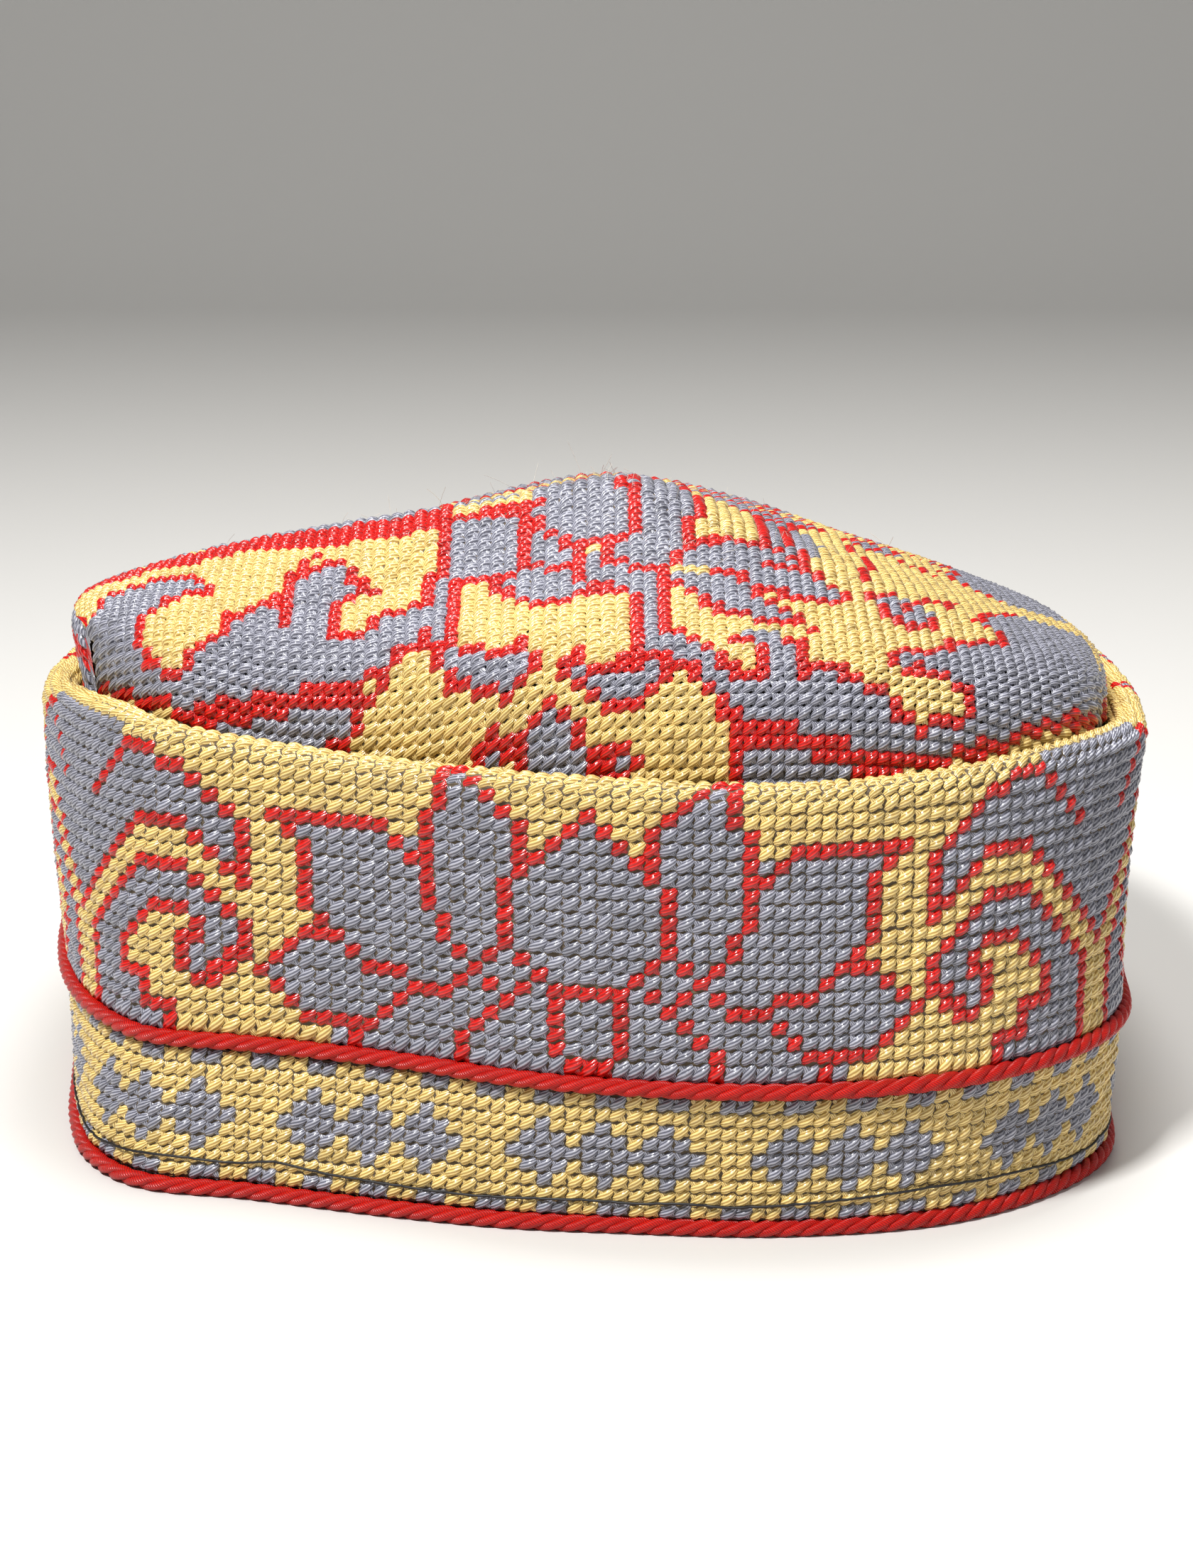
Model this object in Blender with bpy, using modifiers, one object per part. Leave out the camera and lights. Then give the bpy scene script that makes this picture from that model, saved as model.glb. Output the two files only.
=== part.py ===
"""Tubeteika, an embroidered four-sided skullcap, resting on its lower edge.

The cap is five sewn pieces, each a closed solid of its own: a padded side wall whose top
edge is folded over into a roll, a padded crown tucked behind that roll, a ribbon band
under the wall, a piping cord over the join of the two, and an edge cord round the bottom.
The hollow for the head is open underneath.

Units: the tables are in millimetres, the model is in metres. +Z is up, the front of the
cap faces -Y, and the origin is the middle of the cap's box on the surface it rests on.
"""
from collections import namedtuple
from math import cos, pi, sin, sqrt

import bmesh
import bpy
from mathutils import Vector

MM = 0.001

# Driving sizes, in millimetres
CLOTH = 2.2                # thickness of the padded, embroidered cloth
RIBBON = 1.8               # thickness of the ribbon band
SEWN_GAP = 0.3             # clearance between sewn pieces
EDGE_CORD = 2.2            # diameter of the cord round the bottom edge
EDGE_SEAT = 0.74           # height of that cord's middle, pressed flat underneath
PIPING_CORD = 2.2          # diameter of the cord over the join
PIPING_OUT = 0.2           # how far that cord's middle stands out from the cloth's face
JOIN_HEIGHT = 20.5         # height of the join of band and wall
ROLL_RADIUS = 2.7          # outer radius of the folded top edge
FLAP = 5.5                 # depth of the folded edge inside the wall
TUCK = 8.0                 # how far the crown goes down behind the roll
STEEP_BULGE = 0.6          # how far the crown's steep side swells out
STEEP_PART = 0.62          # part of its rise at which it does
SHOULDER_WAY = 0.015       # where the slope starts, part of the way to the apex
APEX = (3.4, -34.0, 91.8)  # highest point of the crown
APEX_ROUND = 0.14          # part of the slope that is rounded off at the apex
APEX_BLUNT = 1.0           # how far that takes the tip down
BOX_MIDDLE = (-0.86, 3.05)  # middle of the cap's box in the plan of the table
ROUND_STEPS = 84           # sections round the cap

# One row for each section round the cap, seen from above against the clock.
#   x, y      outer face of the cloth at the join of band and wall
#   kick      how far the bottom edge stands out from the join
#   belly     how far the middle of the wall stands out from a straight side
#   lean      how far the top of the wall stands out from the join
#   rim       height of the top fold
#   inset     distance from the wall's outer face in to the crown's shoulder
#   rise      height of the crown's shoulder over the top fold
#   puff      how full the crown is next to its shoulder
#   dip       how hollow the crown is half way up to the apex
Station = namedtuple("Station", "name x y kick belly lean rim inset rise puff dip")
STATIONS = (
    Station("front",               0.0, -83.0, -2.4,  0.0, 1.2, 60.4, 8.5, 15.3, 0.0, 1.8),
    Station("front_right",        24.0, -85.6, -3.4,  0.0, 0.8, 60.1, 8.5, 14.5, 0.0, 1.6),
    Station("right_quarter",      46.0, -80.3, -2.8,  0.0, 0.0, 60.8, 8.5, 11.5, 0.0, 1.0),
    Station("corner_right",       61.5, -68.3, -2.4,  0.0, 0.2, 61.6, 8.0,  8.0, 0.2, 0.6),
    Station("right_shoulder",     69.9, -54.0, -1.6, -0.4, 1.4, 61.2, 7.0,  6.6, 0.3, 0.6),
    Station("right_front",        72.8, -31.0, -1.2, -1.2, 3.0, 59.0, 5.0,  6.2, 0.6, 0.9),
    Station("right",              75.8,   2.0, -1.0, -0.6, 2.2, 57.2, 5.0,  5.4, 0.8, 1.2),
    Station("right_back",         74.5,  38.0, -1.0,  0.4, 1.2, 55.6, 6.5,  4.6, 1.5, 0.6),
    Station("corner_back_right",  62.5,  71.0, -1.0,  0.4, 0.6, 54.0, 7.5,  4.4, 2.0, 0.0),
    Station("back_right",         34.0,  87.0, -1.0,  0.8, 1.0, 55.0, 8.0,  6.5, 4.0, 0.0),
    Station("back",                0.0,  91.5, -1.0,  1.0, 1.0, 56.0, 8.0,  8.5, 5.0, 0.0),
    Station("back_left",         -34.0,  88.0, -1.0,  0.8, 1.0, 56.5, 8.0,  7.0, 3.0, 0.3),
    Station("corner_back_left",  -63.5,  71.0, -1.0,  0.4, 0.6, 57.0, 7.0,  5.6, 0.2, 1.0),
    Station("left_back",         -76.0,  38.0, -1.0,  0.8, 1.2, 57.6, 5.0,  7.0, 0.6, 1.6),
    Station("left",              -78.0,   2.0, -1.2,  0.6, 1.6, 59.0, 4.0,  9.6, 2.4, 1.8),
    Station("left_front",        -75.6, -23.0, -1.0,  0.4, 2.0, 61.0, 3.4, 10.4, 3.0, 0.8),
    Station("left_shoulder",     -71.8, -39.5,  0.6,  0.4, 1.0, 62.6, 4.6,  9.6, 1.6, 0.4),
    Station("corner_left",       -66.0, -52.8,  2.6,  0.2, 0.0, 63.6, 7.0,  9.2, 0.6, 0.6),
    Station("corner_left_front", -59.0, -61.4,  3.0,  0.0, 0.0, 63.0, 8.5,  9.5, 0.2, 1.0),
    Station("hollow",            -45.6, -65.4,  2.9,  0.0, 0.2, 61.2, 8.5, 11.5, 0.0, 1.2),
    Station("front_left",        -25.0, -72.8,  2.6,  0.0, 1.2, 60.2, 8.5, 14.3, 0.0, 1.6),
    Station("left_of_front",     -12.0, -79.2, -0.2,  0.0, 1.4, 60.4, 8.5, 15.2, 0.0, 1.8),
)

# The wall's profile from the band up: part of the way from the join to the roll
WALL_RISE = (0.0, 0.3, 0.6, 0.85)
# The roll's profile: turn of the fold in degrees, from the outer face over the top
ROLL_TURN = (0.0, 55.0, 100.0, 145.0, 180.0)
# The crown's profile from the shoulder: part of the way to the apex
CROWN_WAY = (0.12, 0.3, 0.5, 0.68, 0.82, 0.93)

Finish = namedtuple("Finish", "colour roughness")
FINISHES = {
    "crown": Finish((0.55, 0.45, 0.30), 0.55),
    "wall": Finish((0.50, 0.44, 0.33), 0.55),
    "lower_band": Finish((0.62, 0.50, 0.30), 0.55),
    "piping_cord": Finish((0.50, 0.02, 0.02), 0.45),
    "edge_cord": Finish((0.50, 0.02, 0.02), 0.45),
}


def clear_scene():
    """Remove the objects of the open scene."""
    for item in list(bpy.data.objects):
        bpy.data.objects.remove(item, do_unlink=True)


def knots():
    """Distance round the plan at each station, with the whole girth at the end."""
    places = [0.0]
    for here, after in zip(STATIONS, STATIONS[1:] + STATIONS[:1]):
        step = sqrt((after.x - here.x) ** 2 + (after.y - here.y) ** 2)
        places.append(places[-1] + step)
    return places


KNOTS = knots()
GIRTH = KNOTS[-1]


def at(column, distance):
    """A column of the table, read smoothly at a distance round the plan."""
    distance %= GIRTH
    count = len(STATIONS)
    i = max(k for k in range(count) if KNOTS[k] <= distance)
    values = [getattr(STATIONS[(i + k) % count], column) for k in (-1, 0, 1, 2)]
    spans = [KNOTS[(i + k) % count + 1] - KNOTS[(i + k) % count] for k in (-1, 0, 1)]
    slopes = [(values[k + 1] - values[k]) / spans[k] for k in range(3)]
    start_slope = (slopes[0] + slopes[1]) / 2
    end_slope = (slopes[1] + slopes[2]) / 2
    t = (distance - KNOTS[i]) / spans[1]
    return ((2 * t ** 3 - 3 * t ** 2 + 1) * values[1]
            + (t ** 3 - 2 * t ** 2 + t) * spans[1] * start_slope
            + (3 * t ** 2 - 2 * t ** 3) * values[2]
            + (t ** 3 - t ** 2) * spans[1] * end_slope)


def outward(distance):
    """The direction in plan that points out of the cloth."""
    step = 0.5
    along = (Vector((at("x", distance + step), at("y", distance + step)))
             - Vector((at("x", distance - step), at("y", distance - step))))
    along.normalize()
    return Vector((along.y, -along.x))


def place(distance, out, height):
    """A point that stands out from the join's line by out, at a height; in metres."""
    across = outward(distance) * out
    return Vector((at("x", distance) + across.x - BOX_MIDDLE[0],
                   at("y", distance) + across.y - BOX_MIDDLE[1],
                   height)) * MM


def band_out(distance, height):
    """How far the ribbon band's face stands out at a height under the join."""
    return at("kick", distance) * (1 - height / JOIN_HEIGHT)


def wall_out(distance, part):
    """How far the wall's face stands out, part of the way from the join to the fold."""
    return at("lean", distance) * part + at("belly", distance) * 4 * part * (1 - part)


def band_profile(distance):
    """The ribbon band's outer face, bottom to top."""
    low = EDGE_SEAT + EDGE_CORD / 2 + SEWN_GAP
    high = JOIN_HEIGHT - PIPING_CORD / 2 - SEWN_GAP
    heights = [low + (high - low) * part for part in (0.0, 0.5, 1.0)]
    return [place(distance, band_out(distance, height), height) for height in heights]


def wall_profile(distance):
    """The wall's outer face from the join up, over the roll and down inside."""
    low = JOIN_HEIGHT + PIPING_CORD / 2 + SEWN_GAP
    rim = at("rim", distance)
    spring = rim - ROLL_RADIUS
    points = []
    for part in WALL_RISE:
        points.append(place(distance, wall_out(distance, part), low + (spring - low) * part))
    axis = wall_out(distance, 1.0) - ROLL_RADIUS
    for turn in ROLL_TURN:
        angle = turn * pi / 180
        points.append(place(distance, axis + ROLL_RADIUS * cos(angle),
                            spring + ROLL_RADIUS * sin(angle)))
    points.append(place(distance, axis - ROLL_RADIUS, spring - FLAP))
    return points


def apex_point():
    """The crown's highest point before its tip is rounded off; in metres."""
    return Vector((APEX[0] - BOX_MIDDLE[0], APEX[1] - BOX_MIDDLE[1], APEX[2])) * MM


def crown_slope(distance, way):
    """A point of the crown, part of the way from its shoulder to the apex.

    The puff is fullest a third of the way up, where 6.75 w (1 - w)^2 is 1, and the dip
    is deepest half way up, where 4 w (1 - w) is 1.
    """
    rim = at("rim", distance)
    shoulder = place(distance, wall_out(distance, 1.0) - at("inset", distance),
                     rim + at("rise", distance))
    point = shoulder.lerp(apex_point(), way)
    point.z += at("puff", distance) * 6.75 * way * (1 - way) ** 2 * MM
    point.z -= at("dip", distance) * 4 * way * (1 - way) * MM
    near = max(0.0, way - 1 + APEX_ROUND) / APEX_ROUND
    point.z -= APEX_BLUNT * near ** 2 * MM
    return point


def crown_profile(distance):
    """The crown's outer face from its hidden edge up the steep side and to the apex."""
    rim = at("rim", distance)
    foot = wall_out(distance, 1.0) - 2 * ROLL_RADIUS - SEWN_GAP
    steep = wall_out(distance, 1.0) - at("inset", distance)
    rise = at("rise", distance)
    points = [
        place(distance, foot, rim - TUCK),
        place(distance, foot, rim - 1.0),
        place(distance, (2 * foot + steep) / 3 + STEEP_BULGE, rim + STEEP_PART * rise),
        crown_slope(distance, SHOULDER_WAY),
    ]
    for way in CROWN_WAY:
        points.append(crown_slope(distance, way))
    return points


def finish(item, collection):
    """Give an object its material and its place in the cap's collection."""
    look = FINISHES[item.name]
    material = bpy.data.materials.new(item.name)
    material.use_nodes = True
    shader = material.node_tree.nodes["Principled BSDF"]
    shader.inputs["Base Color"].default_value = look.colour + (1.0,)
    shader.inputs["Roughness"].default_value = look.roughness
    item.data.materials.append(material)
    collection.objects.link(item)


def loft(name, profile, thickness, collection, tip=None):
    """An open surface through one profile for each section, thickened inwards."""
    mesh = bmesh.new()
    top = mesh.verts.new(tip) if tip else None
    rings = []
    for step in range(ROUND_STEPS):
        points = profile(GIRTH * step / ROUND_STEPS)
        rings.append([mesh.verts.new(point) for point in points])
    for here, after in zip(rings, rings[1:] + rings[:1]):
        for low in range(len(here) - 1):
            mesh.faces.new((here[low], after[low], after[low + 1], here[low + 1]))
        if top:
            mesh.faces.new((here[-1], after[-1], top))
    data = bpy.data.meshes.new(name)
    mesh.to_mesh(data)
    mesh.free()
    data.shade_smooth()
    item = bpy.data.objects.new(name, data)
    shell = item.modifiers.new("Cloth thickness", "SOLIDIFY")
    shell.thickness = thickness * MM
    shell.offset = -1.0
    finish(item, collection)
    return item


def cord(name, route, diameter, collection):
    """A round cord along a closed route, as a mesh."""
    curve = bpy.data.curves.new(name, "CURVE")
    curve.dimensions = "3D"
    curve.twist_mode = "Z_UP"
    curve.bevel_depth = diameter / 2 * MM
    curve.bevel_resolution = 2
    line = curve.splines.new("POLY")
    line.points.add(ROUND_STEPS - 1)
    for step in range(ROUND_STEPS):
        line.points[step].co = (*route(GIRTH * step / ROUND_STEPS), 1.0)
    line.use_cyclic_u = True
    guide = bpy.data.objects.new(name + "_route", curve)
    collection.objects.link(guide)
    depsgraph = bpy.context.evaluated_depsgraph_get()
    data = bpy.data.meshes.new_from_object(guide.evaluated_get(depsgraph))
    bpy.data.objects.remove(guide, do_unlink=True)
    data.name = name
    data.materials.clear()
    data.shade_smooth()
    item = bpy.data.objects.new(name, data)
    finish(item, collection)
    return item


def piping_route(distance):
    """The piping cord's middle: in the join, between the edges of wall and band."""
    return place(distance, PIPING_OUT, JOIN_HEIGHT)


def edge_route(distance):
    """The edge cord's middle: under the band's edge, half its width proud of the face."""
    return place(distance, band_out(distance, 0.0), EDGE_SEAT)


def press_flat(item):
    """The cord lies flat where it rests on the surface."""
    for vertex in item.data.vertices:
        vertex.co.z = max(vertex.co.z, 0.0)


def main():
    clear_scene()
    collection = bpy.data.collections.new("Tubeteika skullcap")
    bpy.context.scene.collection.children.link(collection)
    tip = crown_slope(0.0, 1.0)
    loft("crown", crown_profile, CLOTH, collection, tip)
    loft("wall", wall_profile, CLOTH, collection)
    loft("lower_band", band_profile, RIBBON, collection)
    cord("piping_cord", piping_route, PIPING_CORD, collection)
    press_flat(cord("edge_cord", edge_route, EDGE_CORD, collection))


main()
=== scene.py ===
"""The looks of the tubeteika skullcap: cloth, cross stitch, cords, seam thread and stage.

The cap's form repeats the tables that its solids were made from, so that every stitch sits
on the cloth that carries it. Tables and sizes are in millimetres, the meshes in metres.
Charts count stitches: c runs round the cap or across the crown, r or b counts rows.
"""
from collections import namedtuple
from math import pi, radians

import bpy
import numpy as np
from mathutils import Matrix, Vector


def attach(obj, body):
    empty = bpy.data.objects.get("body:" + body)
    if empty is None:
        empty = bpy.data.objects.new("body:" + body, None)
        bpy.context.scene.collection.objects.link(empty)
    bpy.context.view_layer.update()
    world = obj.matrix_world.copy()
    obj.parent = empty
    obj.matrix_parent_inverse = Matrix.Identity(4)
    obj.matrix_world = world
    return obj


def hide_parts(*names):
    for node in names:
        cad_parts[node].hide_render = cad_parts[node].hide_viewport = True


bl_info = {
    "name": "Tubeteika skullcap",
    "version": (1, 0, 0),
    "blender": (4, 5, 0),
    "location": "View3D > Sidebar > Tubeteika",
    "description": "Builds the cloth, cross stitch, cords and stage of an embroidered skullcap",
    "category": "Object",
}

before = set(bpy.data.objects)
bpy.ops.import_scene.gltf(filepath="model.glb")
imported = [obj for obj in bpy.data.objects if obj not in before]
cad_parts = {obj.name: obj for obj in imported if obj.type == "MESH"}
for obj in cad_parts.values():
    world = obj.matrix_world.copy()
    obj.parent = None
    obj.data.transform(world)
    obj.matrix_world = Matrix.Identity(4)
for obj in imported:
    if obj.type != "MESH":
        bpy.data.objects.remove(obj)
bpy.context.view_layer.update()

MM = 0.001

# Sizes of the sewn pieces, in millimetres
CLOTH = 2.2
RIBBON = 1.8
SEWN_GAP = 0.3
EDGE_CORD = 2.2
EDGE_SEAT = 0.74
PIPING_CORD = 2.2
PIPING_OUT = 0.2
JOIN_HEIGHT = 20.5
ROLL_RADIUS = 2.7
FLAP = 5.5
TUCK = 8.0
STEEP_BULGE = 0.6
STEEP_PART = 0.62
APEX = (3.4, -34.0, 91.8)
APEX_ROUND = 0.14
APEX_BLUNT = 1.0
BOX_MIDDLE = (-0.86, 3.05)

# One row for each section round the cap, from above against the clock:
# the cloth's outer face at the join, the bottom edge's kick, the wall's belly and lean,
# the height of the fold, and the crown's shoulder and fullness
Station = namedtuple("Station", "name x y kick belly lean rim inset rise puff dip")
STATIONS = (
    Station("front",               0.0, -83.0, -2.4,  0.0, 1.2, 60.4, 8.5, 15.3, 0.0, 1.8),
    Station("front_right",        24.0, -85.6, -3.4,  0.0, 0.8, 60.1, 8.5, 14.5, 0.0, 1.6),
    Station("right_quarter",      46.0, -80.3, -2.8,  0.0, 0.0, 60.8, 8.5, 11.5, 0.0, 1.0),
    Station("corner_right",       61.5, -68.3, -2.4,  0.0, 0.2, 61.6, 8.0,  8.0, 0.2, 0.6),
    Station("right_shoulder",     69.9, -54.0, -1.6, -0.4, 1.4, 61.2, 7.0,  6.6, 0.3, 0.6),
    Station("right_front",        72.8, -31.0, -1.2, -1.2, 3.0, 59.0, 5.0,  6.2, 0.6, 0.9),
    Station("right",              75.8,   2.0, -1.0, -0.6, 2.2, 57.2, 5.0,  5.4, 0.8, 1.2),
    Station("right_back",         74.5,  38.0, -1.0,  0.4, 1.2, 55.6, 6.5,  4.6, 1.5, 0.6),
    Station("corner_back_right",  62.5,  71.0, -1.0,  0.4, 0.6, 54.0, 7.5,  4.4, 2.0, 0.0),
    Station("back_right",         34.0,  87.0, -1.0,  0.8, 1.0, 55.0, 8.0,  6.5, 4.0, 0.0),
    Station("back",                0.0,  91.5, -1.0,  1.0, 1.0, 56.0, 8.0,  8.5, 5.0, 0.0),
    Station("back_left",         -34.0,  88.0, -1.0,  0.8, 1.0, 56.5, 8.0,  7.0, 3.0, 0.3),
    Station("corner_back_left",  -63.5,  71.0, -1.0,  0.4, 0.6, 57.0, 7.0,  5.6, 0.2, 1.0),
    Station("left_back",         -76.0,  38.0, -1.0,  0.8, 1.2, 57.6, 5.0,  7.0, 0.6, 1.6),
    Station("left",              -78.0,   2.0, -1.2,  0.6, 1.6, 59.0, 4.0,  9.6, 2.4, 1.8),
    Station("left_front",        -75.6, -23.0, -1.0,  0.4, 2.0, 61.0, 3.4, 10.4, 3.0, 0.8),
    Station("left_shoulder",     -71.8, -39.5,  0.6,  0.4, 1.0, 62.6, 4.6,  9.6, 1.6, 0.4),
    Station("corner_left",       -66.0, -52.8,  2.6,  0.2, 0.0, 63.6, 7.0,  9.2, 0.6, 0.6),
    Station("corner_left_front", -59.0, -61.4,  3.0,  0.0, 0.0, 63.0, 8.5,  9.5, 0.2, 1.0),
    Station("hollow",            -45.6, -65.4,  2.9,  0.0, 0.2, 61.2, 8.5, 11.5, 0.0, 1.2),
    Station("front_left",        -25.0, -72.8,  2.6,  0.0, 1.2, 60.2, 8.5, 14.3, 0.0, 1.6),
    Station("left_of_front",     -12.0, -79.2, -0.2,  0.0, 1.4, 60.4, 8.5, 15.2, 0.0, 1.8),
)

# The embroidery, in millimetres
STITCH_SEAT = 0.55         # how far the ground cloth lies under the face of the stitches
STITCH_RISE = 0.72         # how far a stitch stands over the ground cloth
WALL_ROW = 1.92            # height of a row of the wall
CROWN_PITCH = 1.87         # stitch and row of the crown
WALL_ROWS = 24             # rows of the wall up to and over its fold
BAND_ROWS = 9
BAND_STITCHES = 272        # round the band: 17 clusters of 16
BAND_MIDDLE = 0.6          # distance round the cap of the middle of the front cluster
SIDE_STITCHES = 74         # from corner to corner of the wall

# Distances round the cap, in mm, of stitches of the front side's pattern.
# The front was drawn wider in the sewing than the three other sides.
WALL_MARKS = ((-37, -81.5), (-19, -42.8), (0, -1.0), (10, 19.2), (19, 36.7), (37, 73.6))

GROUND, GREY, RED = 0, 1, 2

# The wall's chart, for half a side: c stitches from the middle, r rows over the join
PALMETTE = ((0, -1), (0, 17), (4, 13.5), (4, 16), (7, 19), (8, 20.4), (9.4, 19), (10, 16),
            (10, 13.5), (13, 15), (20, 15), (18, 12.5), (18, 7), (21, 4), (18, 1.2), (15, -1))
CORNER_MASS = ((22, 10), (22, 14), (26, 18), (30, 19.4), (31, 21), (37.5, 21), (37.5, 6),
               (30, 13), (26, 14), (23, 11))
SCROLL = ((22, 6.5), (23, 8), (25, 10), (26, 11), (29, 11), (30, 10), (35, 5), (35, -1),
          (27, -1), (27, 0), (28, 1), (29, 2), (30, 3), (31, 4), (30, 6), (28, 8), (26, 8),
          (25, 6.5), (26, 4.5), (24.5, 3), (23, 4.5))
WALL_AREAS = (PALMETTE, CORNER_MASS, SCROLL)
WALL_LINES = (
    ((0, 17), (5, 12), (5, 8), (2, 5), (0, 5)),
    ((8, 20), (7, 19), (4, 16), (4, 13)),
    ((9, 20), (9, 17), (10, 16), (10, 10), (9, 9), (9, 8), (5, 4)),
    ((3, 6), (8, 1), (8, 0)),
    ((10, 13), (11, 13), (13, 15), (20, 15)),
    ((19, 14), (18, 13), (18, 9), (17, 8), (16, 7), (14, 5), (12, 5), (11, 4), (9, 4),
     (8, 5), (6, 7)),
    ((17, 7), (18, 7), (21, 4), (18, 1), (14, 1)),
    ((15, 1), (15, 0)),
    ((11, 4), (14, 1)),
    ((2, 5), (2, 1), (1, 0), (0, 0)),
    ((30, 19), (28, 19), (27, 18), (26, 18), (22, 14), (22, 10), (25, 13), (26, 14),
     (29, 14), (37, 6)),
    ((22, 6), (22, 7), (25, 10), (26, 11), (29, 11), (35, 5), (35, 0)),
    ((22, 6), (23, 4), (25, 3), (26, 4), (26, 5), (25, 7), (26, 8), (28, 8), (30, 6),
     (31, 5), (31, 3), (29, 3), (29, 1), (27, 1), (27, 0)),
    ((30, 19), (34, 15)),
)

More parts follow.
